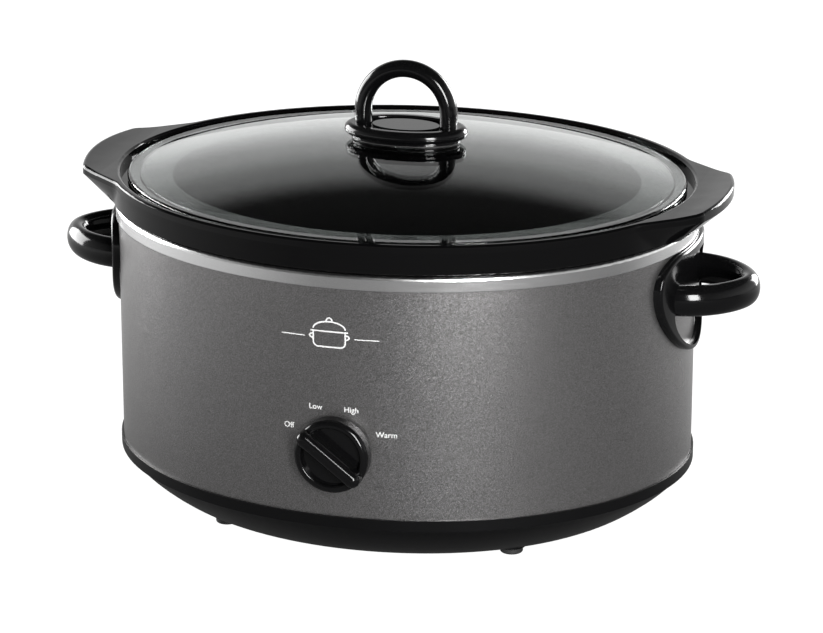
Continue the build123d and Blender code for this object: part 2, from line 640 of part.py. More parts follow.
with BuildPart() as fuse_clip:
    with Locations((FUSE_X, FUSE_Y + 0.2, (FUSE_LOW_Z + FUSE_HIGH_Z) / 2)):
        Box(9, 6.4, 6)
    with BuildSketch(Plane.XY.offset(FUSE_LOW_Z)):
        with Locations((FUSE_X, FUSE_Y)):
            Circle(2.15)
    extrude(amount=FUSE_HIGH_Z - FUSE_LOW_Z, mode=Mode.SUBTRACT)
    add(well_pressing, mode=Mode.SUBTRACT)
fuse_clip.part.label = "fuse_clip"
export_step(fuse_clip.part, "parts/fuse_clip.step")

# ---- terminal block on the pan's floor ----
BLOCK_X = -60.0
BLOCK_Y = 80.0
BLOCK_LOW_Z = PAN_BOTTOM_Z + PAN_WALL
BLOCK_HIGH_Z = BLOCK_LOW_Z + 14
with BuildPart() as terminal_block:
    with Locations((BLOCK_X, BLOCK_Y, BLOCK_LOW_Z)):
        Box(34, 15, 14, align=(Align.CENTER, Align.CENTER, Align.MIN))
    with BuildSketch(Plane.XY.offset(BLOCK_HIGH_Z)):
        with Locations((BLOCK_X - 10, BLOCK_Y), (BLOCK_X + 10, BLOCK_Y)):
            Circle(2.05)
    extrude(amount=-8, mode=Mode.SUBTRACT)
terminal_block.part.label = "terminal_block"
export_step(terminal_block.part, "parts/terminal_block.step")

with BuildPart() as terminal_screws:
    with BuildSketch(Plane.XY.offset(BLOCK_HIGH_Z - 6)):
        with Locations((BLOCK_X - 10, BLOCK_Y), (BLOCK_X + 10, BLOCK_Y)):
            Circle(2.0)
    extrude(amount=6)
    with BuildSketch(Plane.XY.offset(BLOCK_HIGH_Z)):
        with Locations((BLOCK_X - 10, BLOCK_Y), (BLOCK_X + 10, BLOCK_Y)):
            Circle(3.4)
    extrude(amount=2)
terminal_screws.part.label = "terminal_screws"
export_step(terminal_screws.part, "parts/terminal_screws.step")

# ---- cord inlet at the rear: gland and its lock nut ----
with BuildPart() as cord_gland:
    with BuildSketch(Plane.XZ.offset(-SHELL_B - 0.1)):
        with Locations((0, GLAND_Z)):
            Circle(10.5)
    extrude(amount=-3.2)
    fillet(cord_gland.faces().sort_by(Axis.Y)[-1].edges(), radius=1.2)
    with BuildSketch(Plane.XZ.offset(-SHELL_B - 3)):
        with Locations((0, GLAND_Z)):
            Circle(7.2)
    extrude(amount=SHELL_B + 3 - GLAND_NOSE_Y, taper=6)
    with BuildSketch(Plane.XZ.offset(10 - SHELL_B)):
        with Locations((0, GLAND_Z)):
            Circle(6.8)
    extrude(amount=-12)
    with BuildSketch(Plane.XZ.offset(10 - SHELL_B)):
        with Locations((0, GLAND_Z)):
            Circle(CORD_R)
    extrude(amount=SHELL_B - 10 - GLAND_NOSE_Y, mode=Mode.SUBTRACT)
cord_gland.part.label = "cord_gland"
export_step(cord_gland.part, "parts/cord_gland.step")

with BuildPart() as gland_nut:
    with BuildSketch(Plane.XZ.offset(4.4 - SHELL_B)):
        with Locations((0, GLAND_Z)):
            RegularPolygon(10.5, 6)
            Circle(6.85, mode=Mode.SUBTRACT)
    extrude(amount=-3)
gland_nut.part.label = "gland_nut"
export_step(gland_nut.part, "parts/gland_nut.step")

# ---- internal wiring: one wire for each connection ----
BLADE_TIP_Z = SWITCH_LOW_Z - BLADE_LENGTH
EAR_FOOT_Z = EAR_Z - 8
BLOCK_FRONT_Y = BLOCK_Y - 7.5
BLOCK_REAR_Y = BLOCK_Y + 7.5
WIRES = {
    "wire_line_in": (
        [
            (-70, BLOCK_FRONT_Y, 14),
            (-70, -60, 14),
            (-36, -122, 26),
            (FUSE_X, FUSE_Y, 46),
            (FUSE_X, FUSE_Y, FUSE_LOW_Z),
        ],
        12,
    ),
    "wire_line_out": (
        [
            (FUSE_X, FUSE_Y, FUSE_HIGH_Z),
            (FUSE_X, FUSE_Y, 129),
            (-15, -132, 134),
            (-5, -BLADE_Y, 128),
            (-5, -BLADE_Y, SWITCH_HIGH_Z + BLADE_LENGTH),
        ],
        4,
    ),
    "wire_low": (
        [
            (-5, -BLADE_Y, BLADE_TIP_Z),
            (-5, -BLADE_Y, 40),
            (40, -112, 20),
            (58, -70, 15),
            (58, 70, 15),
            (EAR_X, EAR_Y, 38),
            (EAR_X, EAR_Y, EAR_FOOT_Z),
        ],
        12,
    ),
    "wire_high": (
        [
            (5, -BLADE_Y, BLADE_TIP_Z),
            (5, -BLADE_Y, 44),
            (71, -104.6, 40),
            (71, -104.6, BAND_LOW_Z),
        ],
        7,
    ),
    "wire_neutral": (
        [
            (-50, BLOCK_REAR_Y, 14),
            (-50, 104, 14),
            (-EAR_X, EAR_Y, 38),
            (-EAR_X, EAR_Y, EAR_FOOT_Z),
        ],
        8,
    ),
}
for wire_name, (wire_route, wire_bend) in WIRES.items():
    wire = wire_along(wire_route, wire_bend)
    wire.label = wire_name
    export_step(wire, f"parts/{wire_name}.step")

# ---- crock: glazed stoneware pot with a deep rim and two lifting lugs ----
CROCK_OUTER_TOP_R = CROCK_MOUTH_R + CROCK_WALL
CROCK_OUTER_FOOT_R = CROCK_FLOOR_R + CROCK_WALL
crock_pot = oval_body(
    [
        (0, CROCK_BOTTOM_Z),
        (CROCK_OUTER_FOOT_R, CROCK_BOTTOM_Z),
        (CROCK_OUTER_TOP_R, RIM_FOOT_Z),
        (RIM_R - 2.0, RIM_FOOT_Z),
        (RIM_R, LUG_FOOT_Z),
        (RIM_R, RIM_TOP_Z - 1),
        (CROCK_MOUTH_R + 1, RIM_TOP_Z - 1),
        (CROCK_FLOOR_R, CROCK_FLOOR_Z),
        (0, CROCK_FLOOR_Z),
    ],
    [0, 20, 3, 3.5, 6, 0, 0, 18, 0],
)


def lug_profile(corner_x, corner_y, reach, rim_r):
    """Plan of the rim with its two lugs, every corner rounded."""
    with BuildSketch() as plan:
        for side in (-1, 1):
            with BuildLine():
                ThreePointArc((side * corner_x, -corner_y), (side * reach, 0), (side * corner_x, corner_y))
                Line((side * corner_x, corner_y), (side * LUG_ROOT_X, LUG_ROOT_Y))
                Line((side * LUG_ROOT_X, LUG_ROOT_Y), (side * LUG_ROOT_X, -LUG_ROOT_Y))
                Line((side * LUG_ROOT_X, -LUG_ROOT_Y), (side * corner_x, -corner_y))
            make_face()
        Ellipse(rim_r, rim_r * OVAL)
        off_axis = plan.vertices().filter_by(lambda v: abs(v.Y) > 35)
        fillet(off_axis.filter_by(lambda v: abs(v.X) < corner_x - 1), radius=26)
        off_axis = plan.vertices().filter_by(lambda v: abs(v.Y) > corner_y - 1)
        fillet(off_axis.filter_by(lambda v: abs(v.X) > corner_x - 1), radius=11)
    return plan.sketch


TRIM_X = LUG_REACH + 5       # reach and height of the cut that shapes the lugs' upper face
TRIM_Z = RIM_TOP_Z + 20
LUG_END_Z = RIM_TOP_Z + LUG_RISE + 0.5
with BuildPart() as crock:
    # lugs: a slab at the top whose underside slopes back to the foot of the rim
    with BuildSketch(Plane.XY.offset(LUG_FOOT_Z)):
        add(lug_profile(LUG_CORNER_X, LUG_CORNER_Y, LUG_REACH, RIM_R))
    extrude(amount=RIM_TOP_Z + LUG_RISE + 1 - LUG_FOOT_Z)
    with BuildSketch(Plane.XZ.offset(-LUG_REACH)):
        with BuildLine():
            Line((0, RIM_TOP_Z), (LUG_RISE_X, RIM_TOP_Z))
            Bezier((LUG_RISE_X, RIM_TOP_Z), (LUG_RISE_X + 12, RIM_TOP_Z), (TRIM_X, LUG_END_Z))
            Line((TRIM_X, LUG_END_Z), (TRIM_X, TRIM_Z))
            Line((TRIM_X, TRIM_Z), (0, TRIM_Z))
            Line((0, TRIM_Z), (0, RIM_TOP_Z))
        make_face()
        mirror(about=Plane.YZ)
    extrude(amount=2 * LUG_REACH, mode=Mode.SUBTRACT)
    top_edges = crock.edges().filter_by(lambda e: e.center().Z > RIM_TOP_Z - 0.2)
    end_edges = top_edges.filter_by(lambda e: abs(e.center().X) > LUG_RISE_X + 5)
    side_edges = top_edges.filter_by(lambda e: abs(e.center().X) <= LUG_RISE_X + 5)
    fillet(end_edges + side_edges.filter_by(lambda e: abs(e.tangent_at(0.5).X) > 0.02), radius=LIP_FILLET)
    with BuildSketch(Plane.XY.offset(RIM_FOOT_Z + 1.5)):
        add(lug_profile(LUG_CORNER_X - 13, LUG_CORNER_Y - 3, LUG_REACH - 15, RIM_R - 1))
    with BuildSketch(Plane.XY.offset(LUG_FOOT_Z)):
        add(lug_profile(LUG_CORNER_X, LUG_CORNER_Y, LUG_REACH, RIM_R))
    loft()
    with BuildSketch(Plane.XY.offset(LEDGE_Z)):
        Ellipse(RECESS_R, RECESS_R * OVAL)
    extrude(amount=RIM_TOP_Z - LEDGE_Z, mode=Mode.SUBTRACT)
    inner_lip = crock.edges().filter_by(Plane.XY).group_by(Axis.Z)[-1].filter_by(GeomType.ELLIPSE)
    fillet(inner_lip, radius=LIP_FILLET)
    with BuildSketch(Plane.XY.offset(RIM_FOOT_Z)):
        Ellipse(CROCK_MOUTH_R + 4, (CROCK_MOUTH_R + 4) * OVAL)
    extrude(amount=RIM_TOP_Z - RIM_FOOT_Z, mode=Mode.SUBTRACT)
    add(crock_pot)
    with BuildSketch(Plane.XY.offset(LEDGE_Z)):
        Ellipse(RECESS_R, RECESS_R * OVAL)
    extrude(amount=RIM_TOP_Z - LEDGE_Z, mode=Mode.SUBTRACT)
crock.part.label = "crock"
export_step(crock.part, "parts/crock.step")


# ---- lid: domed glass with a flat polished edge ----
DOME_SAG = LID_APEX_Z - LID_EDGE_Z - LID_GLASS
DOME_SPHERE_R = (LID_DOME_R**2 + DOME_SAG**2) / (2 * DOME_SAG)


def dome_z(radius, lift):
    """Height of the dome's outer surface at a distance along X, raised by a set amount."""
    return LID_APEX_Z + lift - DOME_SPHERE_R + sqrt(DOME_SPHERE_R**2 - radius**2)


def dome_solid(lift, reach, foot_z):
    """Oval solid under the dome's outer surface, raised by a set amount, down to foot_z."""
    with BuildPart() as dome:
        with BuildSketch(Plane.XZ):
            with BuildLine():
                ThreePointArc(
                    (0, dome_z(0, lift)),
                    (reach / 2, dome_z(reach / 2, lift)),
                    (reach, dome_z(reach, lift)),
                )
                Line((reach, dome_z(reach, lift)), (reach, foot_z))
                Line((reach, foot_z), (0, foot_z))
                Line((0, foot_z), (0, dome_z(0, lift)))
            make_face()
        revolve(axis=Axis.Z)
        scale(by=(1, OVAL, 1))
    return dome.part


lid_cap = dome_solid(0, LID_DOME_R, LID_EDGE_Z)
lid_hollow = dome_solid(-LID_GLASS, LID_DOME_R - 1, LID_EDGE_Z - 10)
EDGE_TOP_Z = LID_EDGE_Z + LID_GLASS
lid_edge = oval_body(
    [(LID_DOME_R - 3, LID_EDGE_Z), (LID_R, LID_EDGE_Z), (LID_R, EDGE_TOP_Z), (LID_DOME_R - 3, EDGE_TOP_Z)],
    [0, 2.0, 2.0, 0],
)
with BuildPart() as lid_glass:
    add(lid_cap)
    add(lid_edge)
    add(lid_hollow, mode=Mode.SUBTRACT)
    with BuildSketch(Plane.XY.offset(LID_EDGE_Z)):
        Circle(4.5)
    extrude(amount=40, mode=Mode.SUBTRACT)
lid_glass.part.label = "lid_glass"
export_step(lid_glass.part, "parts/lid_glass.step")

# ---- lid handle: oval collar with a dished top, and an arch over it ----
COLLAR_LIFT = 1.0          # seal thickness between glass and collar
under_collar = dome_solid(COLLAR_LIFT, COLLAR_A + 10, LID_EDGE_Z)
with BuildPart() as lid_handle:
    with BuildSketch(Plane.XY.offset(COLLAR_FOOT_Z)):
        Ellipse(COLLAR_A, COLLAR_B)
    extrude(amount=COLLAR_TOP_Z - COLLAR_FOOT_Z)
    fillet(lid_handle.faces().sort_by(Axis.Z)[-1].edges(), radius=3.8)
    fillet(lid_handle.faces().sort_by(Axis.Z)[0].edges(), radius=2.6)
    with BuildSketch(Plane.XY.offset(LID_APEX_Z - 6)):
        Ellipse(COLLAR_A - NECK_INSET, COLLAR_B - NECK_INSET)
    extrude(amount=COLLAR_FOOT_Z - LID_APEX_Z + 7)
    with BuildSketch(Plane.XY.offset(COLLAR_TOP_Z)):
        Ellipse(COLLAR_A - 7.5, COLLAR_B - 7)
    extrude(amount=-GROOVE_DEPTH, mode=Mode.SUBTRACT)
    with BuildSketch(Plane.XY.offset(COLLAR_TOP_Z - GROOVE_DEPTH - 1)):
        Ellipse(20.5, 12.5)
    extrude(amount=GROOVE_DEPTH + 0.4)
    fillet(lid_handle.faces().sort_by(Axis.Z).filter_by(Plane.XY)[-1].edges(), radius=1.0)
    with BuildLine() as arch_path:
        Line((-ARCH_R, 0, COLLAR_TOP_Z - GROOVE_DEPTH - 1), (-ARCH_R, 0, ARCH_Z))
        ThreePointArc((-ARCH_R, 0, ARCH_Z), (0, 0, ARCH_Z + ARCH_R), (ARCH_R, 0, ARCH_Z))
        Line((ARCH_R, 0, ARCH_Z), (ARCH_R, 0, COLLAR_TOP_Z - GROOVE_DEPTH - 1))
    with BuildSketch(Plane.XY.offset(COLLAR_TOP_Z - GROOVE_DEPTH - 1)):
        with Locations((-ARCH_R, 0)):
            Ellipse(LID_HANDLE_TOP_Z - ARCH_Z - ARCH_R, ARCH_DEPTH)
    sweep(path=arch_path.line)
    add(under_collar, mode=Mode.SUBTRACT)
    with BuildSketch(Plane.XY.offset(LID_APEX_Z - 6)):
        Circle(3.05)
    extrude(amount=10.8, mode=Mode.SUBTRACT)
lid_handle.part.label = "lid_handle"
export_step(lid_handle.part, "parts/lid_handle.step")

seal_top = dome_solid(COLLAR_LIFT - 0.05, COLLAR_A + 10, LID_EDGE_Z)
seal_foot = dome_solid(0.05, COLLAR_A + 20, LID_EDGE_Z - 5)
with BuildPart() as lid_seal:
    add(seal_top)
    with BuildSketch(Plane.XY.offset(LID_EDGE_Z)):
        Ellipse(COLLAR_A - 5, COLLAR_B - 5)
        Circle(4.5, mode=Mode.SUBTRACT)
    extrude(amount=40, mode=Mode.INTERSECT)
    add(seal_foot, mode=Mode.SUBTRACT)
lid_seal.part.label = "lid_seal"
export_step(lid_seal.part, "parts/lid_seal.step")

# ---- screw and washer that hold the lid's handle from below ----
GLASS_UNDER_Z = LID_APEX_Z - LID_GLASS
with BuildPart() as lid_washer:
    with BuildSketch(Plane.XY.offset(GLASS_UNDER_Z - 1.8)):
        Circle(9)
        Circle(3.2, mode=Mode.SUBTRACT)
    extrude(amount=1.65)
lid_washer.part.label = "lid_washer"
export_step(lid_washer.part, "parts/lid_washer.step")

with BuildPart() as lid_screw:
    with BuildSketch(Plane.XY.offset(GLASS_UNDER_Z - 1.8)):
        Circle(3.0)
    extrude(amount=10)
    with BuildSketch(Plane.XY.offset(GLASS_UNDER_Z - 4.8)):
        Circle(7)
    extrude(amount=3)
    fillet(lid_screw.faces().sort_by(Axis.Z)[0].edges(), radius=1.6)
    with BuildSketch(Plane.XY.offset(GLASS_UNDER_Z - 4.8)):
        Rectangle(8, 1.4)
    extrude(amount=1.4, mode=Mode.SUBTRACT)
lid_screw.part.label = "lid_screw"
export_step(lid_screw.part, "parts/lid_screw.step")
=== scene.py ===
"""Oval slow cooker: finishes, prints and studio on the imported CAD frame.

Lengths are in metres in the frame's own axes: +X to the right-hand handle, -Y to the dial, +Z up.
"""

import json
import logging
import math
from dataclasses import dataclass, field
from enum import Enum

import bmesh
import bpy
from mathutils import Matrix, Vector

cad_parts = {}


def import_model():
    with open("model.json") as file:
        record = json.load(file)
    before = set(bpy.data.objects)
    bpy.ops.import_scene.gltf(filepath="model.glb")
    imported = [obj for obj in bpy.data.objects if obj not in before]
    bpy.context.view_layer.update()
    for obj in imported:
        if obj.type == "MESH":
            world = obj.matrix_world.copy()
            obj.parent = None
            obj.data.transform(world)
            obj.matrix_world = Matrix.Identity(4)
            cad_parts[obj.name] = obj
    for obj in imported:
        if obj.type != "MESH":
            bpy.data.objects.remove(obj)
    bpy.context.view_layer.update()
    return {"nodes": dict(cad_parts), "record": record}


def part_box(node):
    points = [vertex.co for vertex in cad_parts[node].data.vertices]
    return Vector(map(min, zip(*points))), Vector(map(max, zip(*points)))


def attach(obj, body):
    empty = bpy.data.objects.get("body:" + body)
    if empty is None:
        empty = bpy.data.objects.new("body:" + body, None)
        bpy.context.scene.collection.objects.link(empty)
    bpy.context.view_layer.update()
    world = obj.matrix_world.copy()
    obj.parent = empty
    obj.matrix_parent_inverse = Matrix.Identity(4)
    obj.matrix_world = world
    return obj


LOG = logging.getLogger("slow_cooker")

Colour = tuple[float, float, float]
Point = tuple[float, float]

WHITE: Colour = (1.0, 1.0, 1.0)
DUST_COLOUR: Colour = (0.4, 0.39, 0.37)
CLOUD_SPAN: Point = (0.15, 0.85)  # part of the noise that the cloudy grain spreads over its range
LINE_SPAN: Point = (0.3, 0.7)  # the same for brushed lines
TYPE_CAPITAL = 0.729  # height of a capital in the built-in type at size 1


# ---------------------------------------------------------------------------------------------
# Node trees
# ---------------------------------------------------------------------------------------------


class Effect(Enum):
    """The shader node groups that several finishes share."""

    GRAIN = "surface_grain"
    FLAKE = "metal_flake"
    BRUSHED = "brushed_lines"
    # edge mask: thinning glaze on the crock, lighter plated edges, and a painted highlight on the black
    # plastics
    EDGE = "edge_wear"
    DUST = "settled_dust"


class Bench:
    """Short calls for filling one node tree."""

    def __init__(self, tree: bpy.types.NodeTree) -> None:
        """Keeps the tree that the calls fill.

        Args:
            tree: the tree of a material, a world or a group.
        """
        self.tree = tree

    def node(self, kind: str, **settings: object) -> bpy.types.Node:
        """Adds a node.

        Args:
            kind: the node's type name.
            settings: properties of the node to set.

        Returns:
            The new node.
        """
        made = self.tree.nodes.new(kind)
        for key, value in settings.items():
            setattr(made, key, value)
        return made

    def join(self, source: bpy.types.NodeSocket, target: bpy.types.NodeSocket) -> None:
        """Links an output to an input."""
        self.tree.links.new(source, target)

    def math(self, operation: str, first: object, second: object = 0.0) -> bpy.types.NodeSocket:
        """Adds a Math node.

        Args:
            operation: the Math node's operation.
            first: a number or an output socket.
            second: a number or an output socket.

        Returns:
            The result socket.
        """
        made = self.node("ShaderNodeMath", operation=operation)
        for slot, value in zip(made.inputs, (first, second)):
            self.feed(value, slot)
        return made.outputs[0]

    def feed(self, value: object, target: bpy.types.NodeSocket) -> None:
        """Sets an input to a plain value, or links it if the value is a socket."""
        if isinstance(value, bpy.types.NodeSocket):
            self.join(value, target)
        else:
            target.default_value = value

    def blend(self, factor: object, low: Colour, high: Colour) -> bpy.types.NodeSocket:
        """Mixes two colours.

        Args:
            factor: the mask, 0 for low and 1 for high.
            low: colour where the mask is 0.
            high: colour where the mask is 1.

        Returns:
            The colour socket.
        """
        made = self.node("ShaderNodeMix", data_type="RGBA")
        self.feed(factor, made.inputs[0])
        for slot, colour in ((made.inputs[6], low), (made.inputs[7], high)):
            self.feed(colour if isinstance(colour, bpy.types.NodeSocket) else (*colour, 1.0), slot)
        return made.outputs[2]

    def span(self, value: object, source: Point, target: Point) -> bpy.types.NodeSocket:
        """Maps a value from one range to another, clamped.

        Args:
            value: the value socket.
            source: the range it comes in.
            target: the range it leaves in.

        Returns:
            The mapped socket.
        """
        made = self.node("ShaderNodeMapRange", clamp=True)
        for slot, entry in zip(made.inputs, (value, *source, *target)):
            self.feed(entry, slot)
        return made.outputs[0]

    def bump(self, height: bpy.types.NodeSocket, strength: float, distance: float) -> bpy.types.NodeSocket:
        """Turns a height into a normal.

        Args:
            height: the height socket, 0 to 1.
            strength: how much of the bump shows.
            distance: the height of 1, in metres.

        Returns:
            The normal socket.
        """
        made = self.node("ShaderNodeBump")
        made.inputs["Strength"].default_value = strength
        made.inputs["Distance"].default_value = distance
        self.join(height, made.inputs["Height"])
        return made.outputs["Normal"]

    def place(self) -> bpy.types.NodeSocket:
        """The piece's own coordinates, in metres."""
        return self.node("ShaderNodeTexCoord").outputs["Object"]


class EffectLibrary:
    """Builds each shared node group once and hands it out."""

    def __init__(self) -> None:
        """Starts with no group built."""
        self.trees: dict[Effect, bpy.types.NodeTree] = {}
        self.makers = {
            Effect.GRAIN: self.grain,
            Effect.FLAKE: self.flake,
            Effect.BRUSHED: self.brushed,
            Effect.EDGE: self.edge,
            Effect.DUST: self.dust,
        }

    def use(self, bench: Bench, effect: Effect, **values: object) -> bpy.types.Node:
        """Places a group in a material.

        Args:
            bench: the material's bench.
            effect: which group.
            values: the group's inputs by name, plain or sockets.

        Returns:
            The group node.
        """
        if effect not in self.trees:
            self.trees[effect] = self.makers[effect]()
        placed = bench.node("ShaderNodeGroup", node_tree=self.trees[effect])
        for key, value in values.items():
            bench.feed(value, placed.inputs[key])
        return placed

    def open_group(
        self, effect: Effect, inputs: dict[str, object], outputs: dict[str, str]
    ) -> tuple[Bench, bpy.types.Node, bpy.types.Node]:
        """Makes an empty group with its sockets.

        Args:
            effect: the group's name.
            inputs: default value by input name; a tuple makes a vector input.
            outputs: socket type by output name.

        Returns:
            The bench of the group, its input node and its output node.
        """
        tree = bpy.data.node_groups.new(effect.value, "ShaderNodeTree")
        for name, value in inputs.items():
            kind = "NodeSocketVector" if isinstance(value, tuple) else "NodeSocketFloat"
            made = tree.interface.new_socket(name=name, in_out="INPUT", socket_type=kind)
            made.default_value = value
        for name, kind in outputs.items():
            tree.interface.new_socket(name=name, in_out="OUTPUT", socket_type=kind)
        bench = Bench(tree)
        return bench, bench.node("NodeGroupInput"), bench.node("NodeGroupOutput")

    def grain(self) -> bpy.types.NodeTree:
        """Cloudy noise mapped between two values."""
        inputs = {"Vector": (0.0, 0.0, 0.0), "Scale": 100.0, "Detail": 3.0, "Low": 0.0, "High": 1.0}
        bench, given, result = self.open_group(Effect.GRAIN, inputs, {"Value": "NodeSocketFloat"})
        noise = bench.node("ShaderNodeTexNoise")
        for name in ("Vector", "Scale", "Detail"):
            bench.join(given.outputs[name], noise.inputs[name])
        spread = bench.node("ShaderNodeMapRange", interpolation_type="SMOOTHSTEP")
        spread.inputs["From Min"].default_value = CLOUD_SPAN[0]
        spread.inputs["From Max"].default_value = CLOUD_SPAN[1]
        bench.join(noise.outputs["Fac"], spread.inputs["Value"])
        bench.join(given.outputs["Low"], spread.inputs["To Min"])
        bench.join(given.outputs["High"], spread.inputs["To Max"])
        bench.join(spread.outputs["Result"], result.inputs["Value"])
        return bench.tree

    def flake(self) -> bpy.types.NodeTree:
        """Small cells that each have their own brightness and their own tilt."""
        inputs = {"Vector": (0.0, 0.0, 0.0), "Scale": 1500.0, "Tilt": 0.3}
        outputs = {"Value": "NodeSocketFloat", "Normal": "NodeSocketVector"}
        bench, given, result = self.open_group(Effect.FLAKE, inputs, outputs)
        cells = bench.node("ShaderNodeTexVoronoi")
        bench.join(given.outputs["Vector"], cells.inputs["Vector"])
        bench.join(given.outputs["Scale"], cells.inputs["Scale"])
        parts = bench.node("ShaderNodeSeparateColor")
        bench.join(cells.outputs["Color"], parts.inputs[0])
        bench.join(parts.outputs[0], result.inputs["Value"])
        centred = bench.node("ShaderNodeVectorMath", operation="SUBTRACT")
        centred.inputs[1].default_value = (0.5, 0.5, 0.5)
        bench.join(cells.outputs["Color"], centred.inputs[0])
        tilted = bench.node("ShaderNodeVectorMath", operation="SCALE")
        bench.join(centred.outputs[0], tilted.inputs[0])
        bench.join(given.outputs["Tilt"], tilted.inputs["Scale"])
        total = bench.node("ShaderNodeVectorMath", operation="ADD")
        bench.join(tilted.outputs[0], total.inputs[0])
        bench.join(bench.node("ShaderNodeNewGeometry").outputs["Normal"], total.inputs[1])
        unit = bench.node("ShaderNodeVectorMath", operation="NORMALIZE")
        bench.join(total.outputs[0], unit.inputs[0])
        bench.join(unit.outputs[0], result.inputs["Normal"])
        return bench.tree

    def brushed(self) -> bpy.types.NodeTree:
        """Noise drawn out into lines across the axis with the largest stretch."""
        inputs = {
            "Vector": (0.0, 0.0, 0.0), "Stretch": (1.0, 1.0, 20.0), "Scale": 60.0, "Low": 0.0, "High": 1.0,
        }
        bench, given, result = self.open_group(Effect.BRUSHED, inputs, {"Value": "NodeSocketFloat"})
        drawn = bench.node("ShaderNodeVectorMath", operation="MULTIPLY")
        bench.join(given.outputs["Vector"], drawn.inputs[0])
        bench.join(given.outputs["Stretch"], drawn.inputs[1])
        noise = bench.node("ShaderNodeTexNoise")
        noise.inputs["Detail"].default_value = 4.0
        bench.join(drawn.outputs[0], noise.inputs["Vector"])
        bench.join(given.outputs["Scale"], noise.inputs["Scale"])
        spread = bench.node("ShaderNodeMapRange", clamp=True)
        spread.inputs["From Min"].default_value = LINE_SPAN[0]
        spread.inputs["From Max"].default_value = LINE_SPAN[1]
        bench.join(noise.outputs["Fac"], spread.inputs["Value"])
        bench.join(given.outputs["Low"], spread.inputs["To Min"])
        bench.join(given.outputs["High"], spread.inputs["To Max"])
        bench.join(spread.outputs["Result"], result.inputs["Value"])
        return bench.tree

    def edge(self) -> bpy.types.NodeTree:
        """A mask along sharp edges, broken up by noise."""
        inputs = {"Vector": (0.0, 0.0, 0.0), "Radius": 0.0008, "Gain": 3.0}
        bench, given, result = self.open_group(Effect.EDGE, inputs, {"Mask": "NodeSocketFloat"})
        rounded = bench.node("ShaderNodeBevel", samples=4)
        bench.join(given.outputs["Radius"], rounded.inputs["Radius"])
        agree = bench.node("ShaderNodeVectorMath", operation="DOT_PRODUCT")
        bench.join(rounded.outputs["Normal"], agree.inputs[0])
        bench.join(bench.node("ShaderNodeNewGeometry").outputs["Normal"], agree.inputs[1])
        differ = bench.math("SUBTRACT", 1.0, agree.outputs["Value"])
        strong = bench.math("MULTIPLY", differ, given.outputs["Gain"])
        noise = bench.node("ShaderNodeTexNoise")
        noise.inputs["Scale"].default_value = 350.0
        bench.join(given.outputs["Vector"], noise.inputs["Vector"])
        broken = bench.math("MULTIPLY", strong, noise.outputs["Fac"])
        bench.join(bench.span(broken, (0.0, 1.0), (0.0, 1.0)), result.inputs["Mask"])
        return bench.tree

    def dust(self) -> bpy.types.NodeTree:
        """A thin, uneven veil on faces that look upward."""
        inputs = {"Vector": (0.0, 0.0, 0.0), "Scale": 900.0, "Amount": 0.1}
        bench, given, result = self.open_group(Effect.DUST, inputs, {"Mask": "NodeSocketFloat"})
        parts = bench.node("ShaderNodeSeparateXYZ")
        bench.join(bench.node("ShaderNodeNewGeometry").outputs["Normal"], parts.inputs[0])
        upward = bench.span(parts.outputs["Z"], (0.2, 1.0), (0.0, 1.0))
        noise = bench.node("ShaderNodeTexNoise")
        noise.inputs["Detail"].default_value = 6.0
        bench.join(given.outputs["Vector"], noise.inputs["Vector"])
        bench.join(given.outputs["Scale"], noise.inputs["Scale"])
        specks = bench.span(noise.outputs["Fac"], (0.45, 0.75), (0.0, 1.0))
        veil = bench.math("MULTIPLY", upward, specks)
        bench.join(bench.math("MULTIPLY", veil, given.outputs["Amount"]), result.inputs["Mask"])
        return bench.tree


EFFECTS = EffectLibrary()


# ---------------------------------------------------------------------------------------------
# Finishes
# ---------------------------------------------------------------------------------------------


@dataclass(frozen=True)
class Finish:
    """What every finish shares: a name and one Principled shader."""

    name: str

    def start(self) -> tuple[bpy.types.Material, Bench, bpy.types.NodeInputs]:
        """Makes the empty material.

        Returns:
            The material, the bench of its tree and the shader's inputs.
        """
        made = bpy.data.materials.new(self.name)
        made.use_nodes = True
        shader = made.node_tree.nodes["Principled BSDF"]
        return made, Bench(made.node_tree), shader.inputs

    def material(self) -> bpy.types.Material:
        """Builds the material."""
        raise NotImplementedError


@dataclass(frozen=True)
class FlakePaint(Finish):
    """Satin paint with fine metallic flake."""

    dark: Colour = (0.13, 0.127, 0.127)
    bright: Colour = (0.47, 0.46, 0.46)
    cell_scale: float = 6000.0
    tilt: float = 0.3
    metallic: float = 0.85
    roughness: Point = (0.27, 0.30)
    coat_roughness: float = 0.22
    coat_weight: float = 0.25
    cloud_scale: float = 14.0
    sparkle_contrast: float = 1.6

    def material(self) -> bpy.types.Material:
        """Builds the material.

        Returns:
            The paint.
        """
        made, bench, shader = self.start()
        place = bench.place()
        flake = EFFECTS.use(bench, Effect.FLAKE, Vector=place, Scale=self.cell_scale, Tilt=self.tilt)
        cloud = EFFECTS.use(
            bench, Effect.GRAIN, Vector=place, Scale=self.cloud_scale, Detail=2.0,
            Low=self.roughness[0], High=self.roughness[1],
        )
        sparkle = bench.math("POWER", flake.outputs["Value"], self.sparkle_contrast)
        bench.join(bench.blend(sparkle, self.dark, self.bright), shader["Base Color"])
        bench.join(cloud.outputs["Value"], shader["Roughness"])
        bench.join(flake.outputs["Normal"], shader["Normal"])
        shader["Metallic"].default_value = self.metallic
        shader["Coat Weight"].default_value = self.coat_weight
        shader["Coat Roughness"].default_value = self.coat_roughness
        return made


